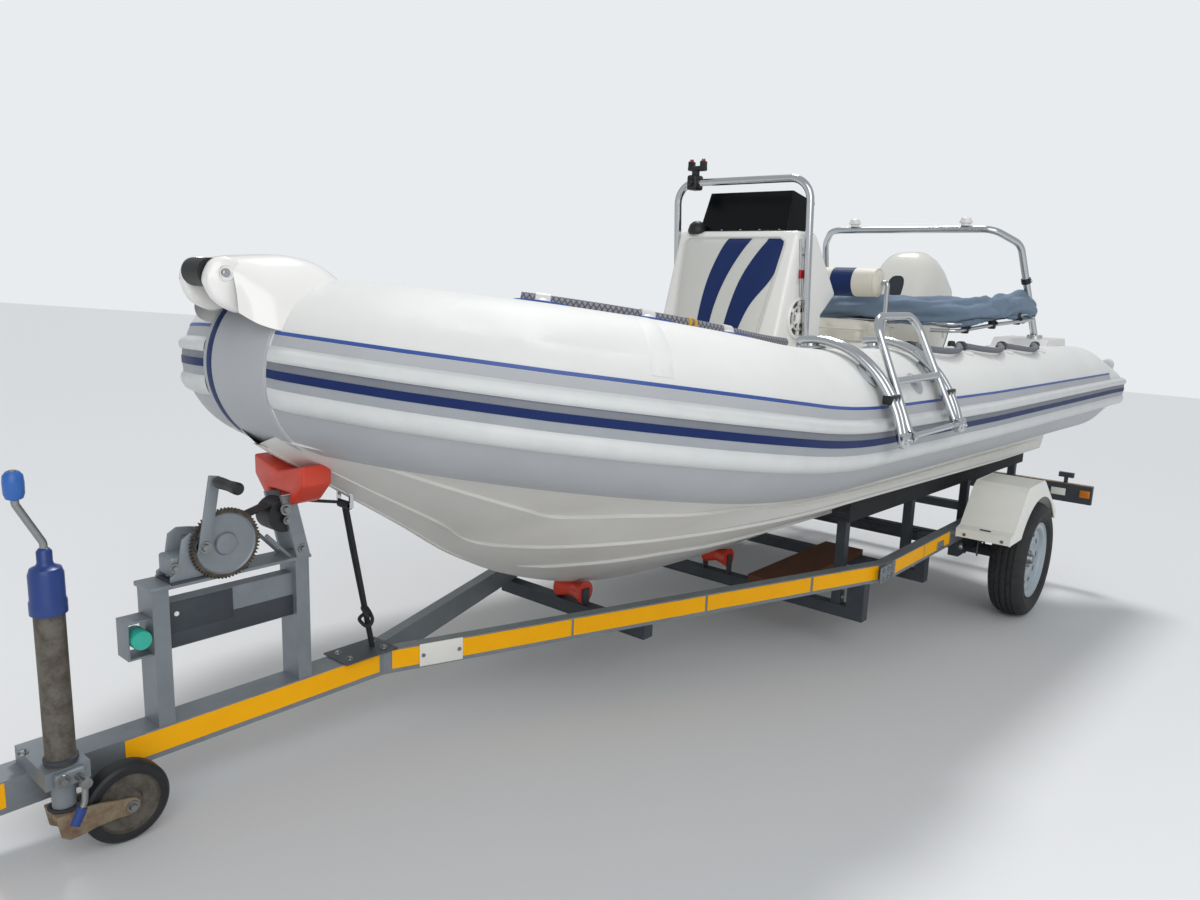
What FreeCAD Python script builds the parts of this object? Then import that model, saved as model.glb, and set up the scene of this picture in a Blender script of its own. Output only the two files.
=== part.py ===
import FreeCAD, Part
import math
import os
import re
from types import SimpleNamespace

import Sketcher
from FreeCAD import Placement, Rotation, Vector

# Rigid inflatable boat on its single-axle road trailer, in millimetres.
# +X runs to the bow and the tow coupling, +Y to port and +Z up. Every piece is drawn with the
# trailer frame level and the axle over x = 0, and then set down nose-low as the trailer parks.

os.makedirs("parts", exist_ok=True)
doc = FreeCAD.newDocument("rib_boat_on_trailer")
sheet = doc.addObject("Spreadsheet::Sheet", "sizes")

SIZES = (
    # alias, value in mm or degrees, what it measures
    ("park_angle", 3.95, "nose-down slope of the trailer frame as parked"),
    ("middle_ahead", 1473, "middle of the whole object ahead of the axle"),
    ("tyre_radius", 290, "rolling radius of a road wheel"),
    ("tyre_width", 165, "section width of a tyre"),
    ("rim_radius", 190, "outer radius of the rim flange"),
    ("wheel_side", 965, "centre plane of a wheel from the middle"),
    ("axle_radius", 30, "axle tube"),
    ("running_gap", 6, "clearance between a turning piece and a fixed one"),
    ("rail_top", 476, "top of the trailer frame above the level ground"),
    ("rail_depth", 76, "height of the frame's box section"),
    ("rail_width", 50, "width of a side rail"),
    ("rail_outside", 761, "outer face of a side rail from the middle"),
    ("rail_wall", 4, "wall of the rails' steel"),
    ("tongue_width", 82, "width of the drawbar"),
    ("knee_ahead", 3190, "where the drawbar splits into the side rails"),
    ("bend_ahead", 1200, "where the side rails turn parallel"),
    ("rail_rear", -1050, "rear end of the side rails"),
    ("coupler_ahead", 4660, "tow ball centre ahead of the axle"),
    ("ball_radius", 25, "tow ball, the standard 50 mm across"),
    ("jockey_ahead", 4090, "jockey tube ahead of the axle"),
    ("jockey_side", 115, "jockey tube to port of the middle"),
    ("jockey_tube_radius", 30, "outer tube of the jockey"),
    ("jockey_tube_top", 870, "top of the outer tube"),
    ("jockey_wheel_radius", 95, "jockey wheel"),
    ("jockey_wheel_width", 50, "jockey wheel"),
    ("jockey_trail", 125, "jockey wheel axle behind its swivel"),
    ("tube_radius", 230, "inflated tube"),
    ("tube_side", 850, "centre line of a side tube from the middle"),
    ("tube_height", 1106, "centre line of a side tube above the axle's ground"),
    ("tube_slope", 1.66, "rise of the side tubes towards the bow"),
    ("bow_slope", 8.5, "rise of the bow bend"),
    ("bow_ahead", 2540, "start of the bow bend"),
    ("sheer_radius", 4000, "bend of the tube from side slope to bow slope"),
    ("cone_start", -950, "where the tube's stern cone starts"),
    ("tube_end", -1270, "stern end of the tubes"),
    ("cone_radius", 115, "small end of the stern cone"),
    ("strake_proud", 26, "height of the rubbing strake's ridges"),
    ("nose_band_half", 8, "half angle of the band over the nose"),
    ("band_thickness", 5, "tube patches and the nose band"),
    ("transom_ahead", -800, "outer face of the transom"),
    ("transom_thickness", 60, "transom board"),
    ("transom_well", 1040, "height of the transom at the motor"),
    ("transom_top", 1290, "height of the transom at the sides"),
    ("well_half", 340, "half width of the motor well"),
    ("deck_height", 800, "cockpit sole"),
    ("bow_deck_height", 1230, "raised bow locker"),
    ("bow_deck_aft", 2500, "aft face of the bow locker"),
    ("moulding_half", 150, "half width of the bow moulding"),
    ("console_half", 300, "half width of the console"),
    ("console_front", 1470, "front of the console at the sole"),
    ("console_brow", 1310, "front of the console at its top"),
    ("console_top", 1815, "top of the console"),
    ("console_back", 1050, "aft face of the console's foot"),
    ("dash_lip", 920, "aft edge of the dashboard"),
    ("screen_half", 285, "half width of the windscreen's foot"),
    ("dash_low", 1556, "height of the dashboard's aft edge"),
    ("wheel_radius", 165, "helm steering wheel"),
    ("rail_pipe", 16, "radius of the console rail"),
    ("hoop_half", 330, "half width of the console rail"),
    ("hoop_top", 2030, "top of the console rail"),
    ("seat_half", 240, "half width of the helm seat"),
    ("seat_front", 420, "front of the helm seat"),
    ("seat_back", -40, "back of the helm seat"),
    ("seat_height", 1320, "top of the seat box"),
    ("arch_pipe", 19, "radius of the arch tube"),
    ("arch_foot_ahead", -930, "foot of the arch"),
    ("arch_top_ahead", -540, "top bar of the arch"),
    ("arch_top", 1935, "height of the arch's top bar"),
    ("arch_foot_side", 655, "half width of the arch at its feet"),
    ("tilt_ahead", -850, "tilt axis of the motor"),
    ("tilt_height", 1080, "tilt axis of the motor"),
    ("tilt_up", 62, "tilt of the motor as parked"),
    ("steer_behind", 110, "swivel axis behind the tilt axis"),
    ("propeller_radius", 155, "propeller"),
    ("leg_length", 800, "propeller axis below the tilt axis"),
    ("ladder_hinge_out", 295, "hinge of the boarding ladder outboard of the tube's centre line"),
    ("ladder_hinge_rise", 52, "hinge of the boarding ladder above the tube's centre line at the axle"),
    ("ladder_ahead", 1905, "middle of the boarding ladder"),
    ("ladder_half", 190, "half width of the boarding ladder"),
    ("ladder_pipe", 12.5, "radius of the ladder's tube"),
    ("rope_radius", 14, "braided line on the tubes"),
    ("post_front_ahead", 3828, "front winch post"),
    ("post_rear_ahead", 3450, "rear winch post"),
    ("post_half", 40, "half width of the winch posts"),
    ("post_top", 820, "top of the winch posts"),
    ("guard_top", 692, "top of a mudguard"),
    ("guard_inside", 780, "inner face of a mudguard"),
    ("guard_outside", 1028, "outer face of a mudguard"),
    ("guard_front", 458, "front edge of a mudguard"),
    ("guard_rear", -300, "rear edge of a mudguard"),
    ("guard_wall", 5, "mudguard moulding"),
)
for row, (alias, value, note) in enumerate(SIZES, 1):
    sheet.set(f"A{row}", alias)
    sheet.set(f"B{row}", str(value))
    sheet.setAlias(f"B{row}", alias)
    sheet.set(f"C{row}", note)
doc.recompute()
s = SimpleNamespace(**{alias: float(sheet.get(alias)) for alias, _, _ in SIZES})

X, Y, Z = Vector(1, 0, 0), Vector(0, 1, 0), Vector(0, 0, 1)
NODES = []


def formula(text):
    """Expression in which every size's name points at its cell."""
    return re.sub(r"[a-z_]+", lambda word: "sizes." + word[0] if hasattr(s, word[0]) else word[0], str(text))


def park(feature):
    """Set a piece down as the trailer parks: turned about the axle and stood on the ground."""
    feature.Placement = Placement(Vector(), Rotation(Y, s.park_angle))
    feature.setExpression("Placement.Rotation.Angle", formula("park_angle"))
    feature.setExpression("Placement.Base.x", formula("-middle_ahead"))
    feature.setExpression("Placement.Base.z", formula("tyre_radius * (1 - cos(park_angle))"))


def grouped(*pieces):
    """Separate solids of one kind that share a node."""
    feature = doc.addObject("Part::Compound", "group")
    feature.Links = list(pieces)
    return feature


def publish(label, *pieces):
    """Name a finished sub-part, made of one or more solids, and park it."""
    feature = grouped(*pieces)
    feature.Label = label
    park(feature)
    NODES.append(feature)
    return pieces[0]


def box(x, y, z):
    """Block between pairs of formulas along X, Y and Z."""
    block = doc.addObject("Part::Box", "block")
    for side, base, (low, high) in (("Length", "x", x), ("Width", "y", y), ("Height", "z", z)):
        block.setExpression(side, formula(f"({high}) - ({low})"))
        block.setExpression(f"Placement.Base.{base}", formula(low))
    return block


def rod(axis, radius, at, length):
    """Round bar from a point of three formulas along an axis."""
    bar = doc.addObject("Part::Cylinder", "rod")
    bar.setExpression("Radius", formula(radius))
    bar.setExpression("Height", formula(length))
    bar.Placement = Placement(Vector(), Rotation(Z, axis))
    for base, place in zip("xyz", at):
        bar.setExpression(f"Placement.Base.{base}", formula(place))
    return bar


def shaped(shape):
    """Feature that holds a shape worked out from the sheet's values."""
    feature = doc.addObject("Part::Feature", "shape")
    feature.Shape = shape
    return feature


def joined(*pieces):
    """One solid from pieces that touch."""
    feature = doc.addObject("Part::MultiFuse", "joined")
    feature.Shapes = list(pieces)
    return feature


def carved(base, *tools):
    """Piece with others taken away from it."""
    feature = doc.addObject("Part::Cut", "carved")
    feature.Base = base
    feature.Tool = tools[0] if len(tools) == 1 else joined(*tools)
    return feature


def other_side(piece):
    """The same piece on the starboard side."""
    feature = doc.addObject("Part::Mirroring", "other_side")
    feature.Source = piece
    feature.Normal = Y
    return feature


def outline(body, plane, corners, offset):
    """Closed sketch on one of the body's own planes; its corners are pairs of formulas."""
    sketch = body.newObject("Sketcher::SketchObject", "outline")
    origin_plane = next(f for f in body.Origin.OriginFeatures if f.Role == plane)
    sketch.AttachmentSupport = [(origin_plane, "")]
    sketch.MapMode = "FlatFace"
    for base, place in zip("xyz", offset):
        sketch.setExpression(f"AttachmentOffset.Base.{base}", formula(place))
    count = len(corners)
    for number in range(count):
        start = 2 * math.pi * number / count
        end = 2 * math.pi * (number + 1) / count
        first = Vector(100 * math.cos(start), 100 * math.sin(start), 0)
        second = Vector(100 * math.cos(end), 100 * math.sin(end), 0)
        sketch.addGeometry(Part.LineSegment(first, second), False)
    for number in range(count):
        sketch.addConstraint(Sketcher.Constraint("Coincident", number, 2, (number + 1) % count, 1))
    for number, corner in enumerate(corners):
        for kind, place in zip(("DistanceX", "DistanceY"), corner):
            index = sketch.addConstraint(Sketcher.Constraint(kind, -1, 1, number, 1, 1.0))
            sketch.setExpression(f"Constraints[{index}]", formula(place))
    return sketch


def prism(plane, corners, low, high):
    """Padded outline: XY pads along Z, XZ along Y and YZ along X, from low to high."""
    body = doc.addObject("PartDesign::Body", "body")
    start = f"-({high})" if plane == "XZ_Plane" else low
    pad = body.newObject("PartDesign::Pad", "pad")
    pad.Profile = outline(body, plane, corners, (0, 0, start))
    pad.setExpression("Length", formula(f"({high}) - ({low})"))
    return body


SPIN = {
    # axis: sketch plane, sketch axis, order of (radius, along), order of the centre's x, y, z
    "X": ("XY_Plane", "H_Axis", lambda r, a: (a, r), lambda x, y, z: (x, y, z)),
    "Y": ("XY_Plane", "V_Axis", lambda r, a: (r, a), lambda x, y, z: (x, y, z)),
    "Z": ("XZ_Plane", "V_Axis", lambda r, a: (r, a), lambda x, y, z: (x, z, f"-({y})")),
}


def spun(axis, corners, centre):
    """Outline of (radius, along) formulas revolved about an axis through a centre."""
    body = doc.addObject("PartDesign::Body", "body")
    plane, sketch_axis, order, place = SPIN[axis]
    sketch = outline(body, plane, [order(*corner) for corner in corners], place(*centre))
    turn = body.newObject("PartDesign::Revolution", "turn")
    turn.Profile = sketch
    turn.ReferenceAxis = (sketch, [sketch_axis])
    turn.Angle = 360
    return body


def disc(axis, radius, low, high, centre):
    """Plain wheel or roller."""
    return spun(axis, [(0, low), (radius, low), (radius, high), (0, high)], centre)


def pipe(points, radius, bend):
    """Bent round tube through corners, each corner with the largest bend up to the one given."""
    edges, start = [], points[0]
    for before, corner, after in zip(points, points[1:], points[2:]):
        back, ahead = before - corner, after - corner
        turn = math.pi - back.getAngle(ahead)
        reach = min(bend * math.tan(turn / 2), 0.45 * back.Length, 0.45 * ahead.Length)
        size = reach / math.tan(turn / 2)
        back.normalize()
        ahead.normalize()
        first, last = corner + back * reach, corner + ahead * reach
        inward = (back + ahead).normalize()
        middle = corner + inward * (math.hypot(size, reach) - size)
        edges.append(Part.LineSegment(start, first).toShape())
        edges.append(Part.Arc(first, middle, last).toShape())
        start = last
    edges.append(Part.LineSegment(start, points[-1]).toShape())
    profile = Part.Wire([Part.makeCircle(radius, points[0], points[1] - points[0])])
    return Part.Wire(edges).makePipeShell([profile], True, True)


def mirrored(shape):
    """Starboard copy of a port shape."""
    return shape.mirror(Vector(), Y)


# Inflated tubes: straight sides, a vertical bend up to the bow's slope, and a half ring round the bow

side_slope, bow_slope = math.radians(s.tube_slope), math.radians(s.bow_slope)
side_along = Vector(math.cos(side_slope), 0, math.sin(side_slope))
bow_up = Vector(-math.sin(bow_slope), 0, math.cos(bow_slope))
sheer_length = s.sheer_radius * (math.sin(bow_slope) - math.sin(side_slope))
sheer_rise = s.sheer_radius * (math.cos(side_slope) - math.cos(bow_slope))
sheer_start = Vector(s.bow_ahead - sheer_length, s.tube_side,
                     s.tube_height + (s.bow_ahead - sheer_length) * math.tan(side_slope))
bow_start = sheer_start + Vector(sheer_length, 0, sheer_rise)
bow_centre = Vector(bow_start.x, 0, bow_start.z)
sheer_centre = bow_start + bow_up * s.sheer_radius
side_length = (sheer_start.x - s.cone_start) / side_along.x
cone_base = sheer_start - side_along * side_length
nose = bow_centre + Vector(math.cos(bow_slope), 0, math.sin(bow_slope)) * s.tube_side


def section_point(angle, radius):
    """Point of the tube's section at the start of the bow: angle up from the outer side."""
    turn = math.radians(angle)
    return bow_start + Y * (radius * math.cos(turn)) + bow_up * (radius * math.sin(turn))


def along_side(face, aft):
    """Sweep a section from the start of the bow back along the port side to a point aft."""
    turned = math.degrees(side_slope - bow_slope)
    bend = face.revolve(sheer_centre, Y, -turned)
    start = face.copy()
    start.rotate(sheer_centre, Y, -turned)
    run = start.extrude(side_along * (-(sheer_start.x - aft) / side_along.x))
    return bend.fuse(run).removeSplitter()


def round_bow(face, start, end):
    """Sweep a section round the bow between two angles turned inboard from the port side."""
    turned = face.copy()
    turned.rotate(bow_centre, bow_up, -start)
    return turned.revolve(bow_centre, bow_up, start - end)


tube_section = Part.Face(Part.Wire([Part.makeCircle(s.tube_radius, bow_start, bow_up.cross(Y))]))
port_run = along_side(tube_section, s.cone_start)
cone_shift = Vector(s.tube_end - s.cone_start, s.tube_radius - s.cone_radius - 2, 0)
cone = Part.makeLoft([
    Part.Wire([Part.makeCircle(s.tube_radius, cone_base, side_along)]),
    Part.Wire([Part.makeCircle(s.cone_radius, cone_base + cone_shift, side_along)]),
], True, True)
port_tube = port_run.fuse(cone)
bow_tube = round_bow(tube_section, 0, 180)
publish("tube_port", shaped(port_tube))
publish("tube_starboard", shaped(mirrored(port_tube)))
publish("tube_bow", shaped(bow_tube))

# Rubbing strake: two round ridges with a flat stripe between them, on the tube's outer side

RIDGES = (
    # start and end angle on the tube, height of the first end, crown and last end above it
    (-28, -10, 0, 1.0, 0.35),
    (9, 20, 0.35, 0.9, 0),
)
low_ridge, high_ridge = RIDGES


def ridge_arc(ridge):
    """Round back of one ridge."""
    start, end, first, crown, last = ridge
    stations = ((start, first), ((start + end) / 2, crown), (end, last))
    return Part.Arc(*[section_point(a, s.tube_radius + s.strake_proud * h) for a, h in stations]).toShape()


def strake_section():
    """Outline of the whole strake seated on the tube."""
    flat = s.tube_radius + s.strake_proud * low_ridge[4]
    low, high = low_ridge[0], high_ridge[1]
    seat = [section_point(a, s.tube_radius) for a in (high, (low + high) / 2, low)]
    between = [section_point(a, flat) for a in (low_ridge[1], 0, high_ridge[0])]
    return Part.Face(Part.Wire([ridge_arc(low_ridge), Part.Arc(*between).toShape(),
                                ridge_arc(high_ridge), Part.Arc(*seat).toShape()]))


strake = along_side(strake_section(), s.tube_end).fuse(round_bow(strake_section(), 0, 90 - s.nose_band_half))
strake = strake.cut(port_tube)
publish("rub_strakes", shaped(strake), shaped(mirrored(strake)))

band_circle = Part.makeCircle(s.tube_radius + s.band_thickness, bow_start, bow_up.cross(Y))
band_section = Part.Face(Part.Wire([band_circle])).cut(tube_section)
band = round_bow(band_section, 90 - s.nose_band_half, 90 + s.nose_band_half)

# Hull: a deep V with a bow flare, in four pieces: the bottom, a flange under each tube and the forepeak

STATIONS = (
    # ahead of the axle, keel height, then half breadth and height of chine, flare, edge and sole
    (-800, 370, (790, 731), (800, 790), (815, 860), (640, 800)),
    (1400, 390, (790, 818), (805, 860), (820, 910), (640, 800)),
    (2000, 424, (790, 843), (808, 890), (830, 940), (620, 800)),
    (2300, 472, (735, 842), (812, 920), (850, 965), (560, 800)),
    (2500, 527, (650, 832), (810, 945), (860, 990), (430, 800)),
    (2700, 602, (535, 822), (785, 960), (872, 1018), (330, 800)),
    (2850, 677, (330, 797), (680, 962), (868, 1045), (180, 800)),
    (2950, 735, (150, 796), (510, 943), (855, 1066), (150, 850)),
    (3080, 826, (166, 880), (497, 987), (815, 1098), (150, 940)),
    (3280, 958, (134, 994), (402, 1066), (665, 1140), (80, 1070)),
    (3420, 1052, (104, 1077), (312, 1127), (515, 1180), (60, 1160)),
    (3500, 1105, (72, 1123), (216, 1159), (355, 1192), (40, 1195)),
    (3545, 1137, (20, 1145), (60, 1160), (100, 1172), (20, 1209)),
)
SKIN = 60


def tube_line(ahead):
    """Half breadth and height of the tube's centre line at a station."""
    if ahead <= s.bow_ahead:
        return s.tube_side, s.tube_height + ahead * math.tan(side_slope)
    inboard = min((ahead - s.bow_ahead) / math.cos(bow_slope) / s.tube_side, 0.995)
    side = s.tube_side * math.sqrt(1 - inboard ** 2)
    return side, bow_centre.z + (ahead - s.bow_ahead) * math.tan(bow_slope)


def hull_section(ahead, keel, chine, flare, edge, sole):
    """Half section from keel to tube, up inside the tube, back along a ledge to the sole, and its mirror."""
    side, height = tube_line(ahead)
    ledge = max(side - 150, edge[0] * 0.35)
    bottom = ((0, keel), chine, flare, edge)
    (inner, low), (outer, high) = next(pair for pair in zip(bottom, bottom[1:]) if ledge <= pair[1][0])
    ledge_height = low + (high - low) * (ledge - inner) / (outer - inner) + SKIN
    half = [Vector(ahead, *point) for point in (chine, flare, edge)]
    half.append(Vector(ahead, max(side - 40, edge[0] * 0.5), height - 40))
    half.append(Vector(ahead, ledge, max(ledge_height, s.deck_height + 20)))
    half.append(Vector(ahead, *sole))
    other = [Vector(p.x, -p.y, p.z) for p in reversed(half)]
    return Part.makePolygon([Vector(ahead, 0, keel)] + half + other + [Vector(ahead, 0, keel)])


hull_block = Part.makeLoft([hull_section(*station) for station in STATIONS], True, True)
all_tubes = port_tube.fuse([mirrored(port_tube), bow_tube])
hull = hull_block.cut([all_tubes, band])
reach = 2 * s.bow_ahead
bottom_room = Part.makeBox(2 * reach, reach, s.deck_height, Vector(-reach, -reach / 2, 0))
flange_room = Part.makeBox(reach + s.bow_deck_aft, reach, reach, Vector(-reach, 0, s.deck_height))
peak_room = Part.makeBox(reach, reach, reach, Vector(s.bow_deck_aft, -reach / 2, s.deck_height))
hull_parts = [hull.common(room) for room in (bottom_room, flange_room, mirrored(flange_room), peak_room)]
publish("hull", *[shaped(solid) for part in hull_parts for solid in part.Solids if solid.Volume > 1e4])

transom_outline = [
    (-1, "deck_height"), (1, "deck_height"), (1, "transom_top - 40"), (0.78, "transom_top"),
    (0.6, "transom_top"), (0.45, "transom_well"), (-0.45, "transom_well"), (-0.6, "transom_top"),
    (-0.78, "transom_top"), (-1, "transom_top - 40"),
]
publish("transom", carved(
    prism("YZ_Plane", [(f"{share} * (tube_side - 100)", height) for share, height in transom_outline],
          "transom_ahead", "transom_ahead + transom_thickness"),
    shaped(all_tubes), shaped(hull_block)))

bow_deck = Part.makeBox(700, 2 * s.tube_side, 40, Vector(s.bow_deck_aft, -s.tube_side, s.bow_deck_height - 40))
bow_bulkhead = Part.makeBox(20, 2 * s.tube_side, s.bow_deck_height - s.deck_height,
                            Vector(s.bow_deck_aft, -s.tube_side, s.deck_height))
locker = bow_deck.fuse(bow_bulkhead).cut([all_tubes, hull_block, band])
locker = max(locker.Solids, key=lambda solid: solid.Volume)
publish("bow_locker", shaped(locker))

# Bow moulding: a cap over the nose of the tube, with a roller between its cheeks

MOULDING = (
    # ahead of the start of the bow bend, above the side tubes' centre line at the axle
    (760, 419), (760, 394), (1100, 334), (1132, 394), (1150, 439), (1136, 496), (930, 514), (860, 502),
)
moulding = prism("XZ_Plane", [(f"bow_ahead + {ahead}", f"tube_height + {rise}") for ahead, rise in MOULDING],
                 "-moulding_half", "moulding_half")
roller_at = ("bow_ahead + 1128", 0, "tube_height + 466")
roller_slot = box(("bow_ahead + 1085", "bow_ahead + 1220"), (-42, 42), ("tube_height + 394", "tube_height + 554"))
publish("bow_moulding", carved(carved(moulding, roller_slot, shaped(all_tubes)), shaped(band)))
publish("nose_band", shaped(band))
publish("bow_roller", joined(disc("Y", 34, -40, 40, roller_at), rod(Y, 6, (roller_at[0], -42, roller_at[2]), 84)))

# Console with its windscreen, rail, helm and seats

publish("console", prism("XZ_Plane", [
    ("console_front", "deck_height"), ("console_front - 10", "console_top - 505"),
    ("console_brow", "console_top"), (1145, "console_top"), ("dash_lip", "dash_low"),
    ("console_back", "dash_low - 93"), ("console_back", "deck_height"),
], "-console_half", "console_half"))
screen_foot = box(("console_brow - 60", "console_brow - 14"), ("-screen_half", "screen_half"),
                  ("console_top", "console_top + 6"))
screen_front = prism("XZ_Plane", [
    ("console_brow - 20", "console_top"), ("console_brow - 12", "console_top"),
    ("console_brow - 102", "console_top + 170"), ("console_brow - 110", "console_top + 170"),
], "-screen_half + 20", "screen_half - 20")
SCREEN_WING = [
    ("console_brow - 20", "console_top"), ("console_brow - 160", "console_top"),
    ("console_brow - 140", "console_top + 85"), ("console_brow - 105", "console_top + 170"),
]
publish("windscreen", joined(
    screen_foot, screen_front,
    prism("XZ_Plane", SCREEN_WING, "screen_half - 26", "screen_half - 20"),
    prism("XZ_Plane", SCREEN_WING, "-screen_half + 20", "-screen_half + 26")))
rail_x = s.console_brow - 50
hoop = [Vector(rail_x, s.hoop_half, s.console_top - 505), Vector(rail_x, s.hoop_half, s.hoop_top),
        Vector(rail_x, -s.hoop_half, s.hoop_top), Vector(rail_x, -s.hoop_half, s.console_top - 505)]
hoop_feet = [Part.makeCylinder(11, s.hoop_half - s.console_half, Vector(rail_x, s.console_half, height), Y)
             for height in (s.console_top - 480, s.console_top - 90)]
console_rail = pipe(hoop, s.rail_pipe, 90).fuse(hoop_feet + [mirrored(foot) for foot in hoop_feet])
holder_collar = Part.makeBox(44, 34, 44, Vector(rail_x - 22, -s.hoop_half + 93, s.hoop_top - 22))
holder_stem = Part.makeCylinder(9, 40, Vector(rail_x, -s.hoop_half + 110, s.hoop_top + 20), Z)
holder_jaw = Part.makeBox(34, 84, 46, Vector(rail_x - 17, -s.hoop_half + 68, s.hoop_top + 52))
console_rail = console_rail.fuse([holder_collar, holder_stem, holder_jaw])
publish("console_rail", shaped(console_rail))
publish("speakers",
        disc("Y", 86, "console_half", "console_half + 12", (1272, 0, 1457)),
        disc("Y", 86, "-console_half - 12", "-console_half", (1272, 0, 1457)))

dash_slope = math.atan2(s.console_top - s.dash_low, 1145 - s.dash_lip)
dash_out = Vector(-math.sin(dash_slope), 0, math.cos(dash_slope))
dash_middle = Vector((1145 + s.dash_lip) / 2, 0, (s.console_top + s.dash_low) / 2)
wheel_centre = dash_middle + dash_out * 80
hub = Part.makeCone(45, 28, 60, dash_middle, dash_out)
helm_shaft = Part.makeCylinder(9, 84, dash_middle, dash_out)
publish("helm_controls", shaped(hub.fuse(helm_shaft)), joined(
    box(("dash_lip + 50", "dash_lip + 150"), ("-console_half - 45", "-console_half"), (1500, 1640)),
    rod(Z, 9, ("dash_lip + 100", "-console_half - 22", 1635), 120),
    rod(Y, 14, ("dash_lip + 100", "-console_half - 60", 1750), 70)))
rim = Part.makeTorus(s.wheel_radius, 14, wheel_centre, dash_out)
boss = Part.makeCylinder(32, 28, wheel_centre - dash_out * 14, dash_out)
spokes = []
for turn in (90, 210, 330):
    spoke = Part.makeBox(s.wheel_radius - 4, 24, 6, Vector(0, -12, -3))
    spoke.rotate(Vector(), Z, turn)
    spoke.rotate(Vector(), Y, -math.degrees(dash_slope))
    spoke.translate(wheel_centre)
    spokes.append(spoke)
helm_bore = Part.makeCylinder(9.4, 90, dash_middle, dash_out)
publish("steering_wheel", shaped(boss.fuse([rim] + spokes).cut(helm_bore)))

publish("console_backrest", prism("XZ_Plane", [
    ("console_front - 8.8", "console_top - 490"), ("console_front + 14", "console_top - 490"),
    ("console_brow + 30", "console_top - 30"), ("console_brow + 9.5", "console_top - 30"),
], "-console_half + 45", "console_half - 45"))

publish("seat_boxes",
        box(("console_front", "console_front + 390"), ("-console_half + 20", "console_half - 20"),
            ("deck_height", "deck_height + 330")),
        prism("XZ_Plane", [
            ("seat_back", "deck_height"), ("seat_front - 30", "deck_height"), ("seat_front", "seat_height"),
            ("seat_back - 20", "seat_height"),
        ], "-seat_half", "seat_half"))
publish("seat_cushions",
        box(("console_front + 20", "console_front + 400"), ("-console_half + 15", "console_half - 15"),
            ("deck_height + 330", "deck_height + 400")),
        box(("seat_back", "seat_front"), ("-seat_half + 45", "seat_half - 45"),
            ("seat_height", "seat_height + 80")))
bolster_x, bolster_z = 210, 1622
rail_side = s.seat_half - 13
stanchion = pipe([
    Vector(bolster_x, 195, bolster_z), Vector(bolster_x, rail_side, bolster_z),
    Vector(bolster_x - 10, rail_side, s.seat_height - 20),
], 12, 30).cut(Part.makeBox(200, 600, 100, Vector(bolster_x - 100, -300, s.seat_height - 100)))
publish("seat_rail", shaped(stanchion), shaped(mirrored(stanchion)))
publish("backrest_bolster", disc("Y", 74, -195, 195, (bolster_x, 0, bolster_z)))

# Arch, folded sunshade and stern pods

arch_points = [
    Vector(s.arch_foot_ahead, s.arch_foot_side, s.tube_height + 239), Vector(-690, 590, s.arch_top - 75),
    Vector(s.arch_top_ahead, 480, s.arch_top),
]
arch_route = arch_points + [Vector(p.x, -p.y, p.z) for p in reversed(arch_points)]
publish("arch_lights", *[
    spun("Z", [(0, 0), (34, 0), (34, 12), (24, 14), (26, 42), (16, 52), (0, 54)],
         ("arch_top_ahead", side, "arch_top + arch_pipe")) for side in (330, -330)])

pod_base, pod_top = s.tube_height + 184, s.tube_height + 239
POD = [("transom_ahead - 280", pod_base), ("transom_ahead + 160", pod_base), ("transom_ahead + 100", pod_top),
       ("transom_ahead - 250", pod_top)]
pod = carved(prism("XZ_Plane", POD, "tube_side - 350", "tube_side - 60"), shaped(all_tubes))
publish("stern_pods", pod, other_side(pod))

hoop_z = 1425
hoop_end = arch_points[0] + (arch_points[1] - arch_points[0]) * 0.27
canopy_hoop = [hoop_end, Vector(0, 520, hoop_z), Vector(0, -520, hoop_z), Vector(hoop_end.x, -hoop_end.y, hoop_end.z)]
arch_feet = [Part.makeCylinder(42, 14, Vector(s.arch_foot_ahead, side * s.arch_foot_side, pod_top), Z)
             for side in (1, -1)]
pod_tops = Part.makeBox(300, 1600, 60, Vector(s.arch_foot_ahead - 150, -800, pod_top - 60))
arch_frame = pipe(arch_route, s.arch_pipe, 110).fuse([pipe(canopy_hoop, 11, 80)] + arch_feet).cut(pod_tops)
publish("arch", shaped(arch_frame))
canopy_arm = prism("XZ_Plane", [(-760, 1489.5), (-760, 1585), (-125, 1565), (-125, 1445.4)], 515, 640)
publish("canopy", box((-110, 60), (-470, 470), (hoop_z + 11.2, hoop_z + 140)), canopy_arm, other_side(canopy_arm))

# Outboard motor, drawn upright about its tilt axis and then tilted up

tilt_point = Vector(s.tilt_ahead, 0, s.tilt_height)


def tilted(shape):
    """Motor piece turned up about the tilt axis and set on the transom."""
    turned = shape.copy()
    turned.rotate(Vector(), Y, s.tilt_up)
    turned.translate(tilt_point)
    return turned


def slab(corners, half):
    """Side outline of a motor piece with its half breadth."""
    points = [Vector(x, -half, z) for x, z in corners]
    return Part.Face(Part.makePolygon(points + points[:1])).extrude(Y * (2 * half))


clamp_arm = Part.makeBox(30, 20, 300, Vector(s.transom_ahead - 30, 60, s.transom_well - 280))
clamp_hook = Part.makeBox(130, 20, 32, Vector(s.transom_ahead - 30, 60, s.transom_well))
clamp_ear = Part.makeCylinder(34, 20, Vector(s.tilt_ahead, 60, s.tilt_height), Y)
clamp_half = clamp_arm.fuse([clamp_hook, clamp_ear])
tilt_tube = Part.makeCylinder(12, 160, tilt_point - Y * 80, Y)
publish("motor_bracket", shaped(clamp_half.fuse([mirrored(clamp_half), tilt_tube])))

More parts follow.
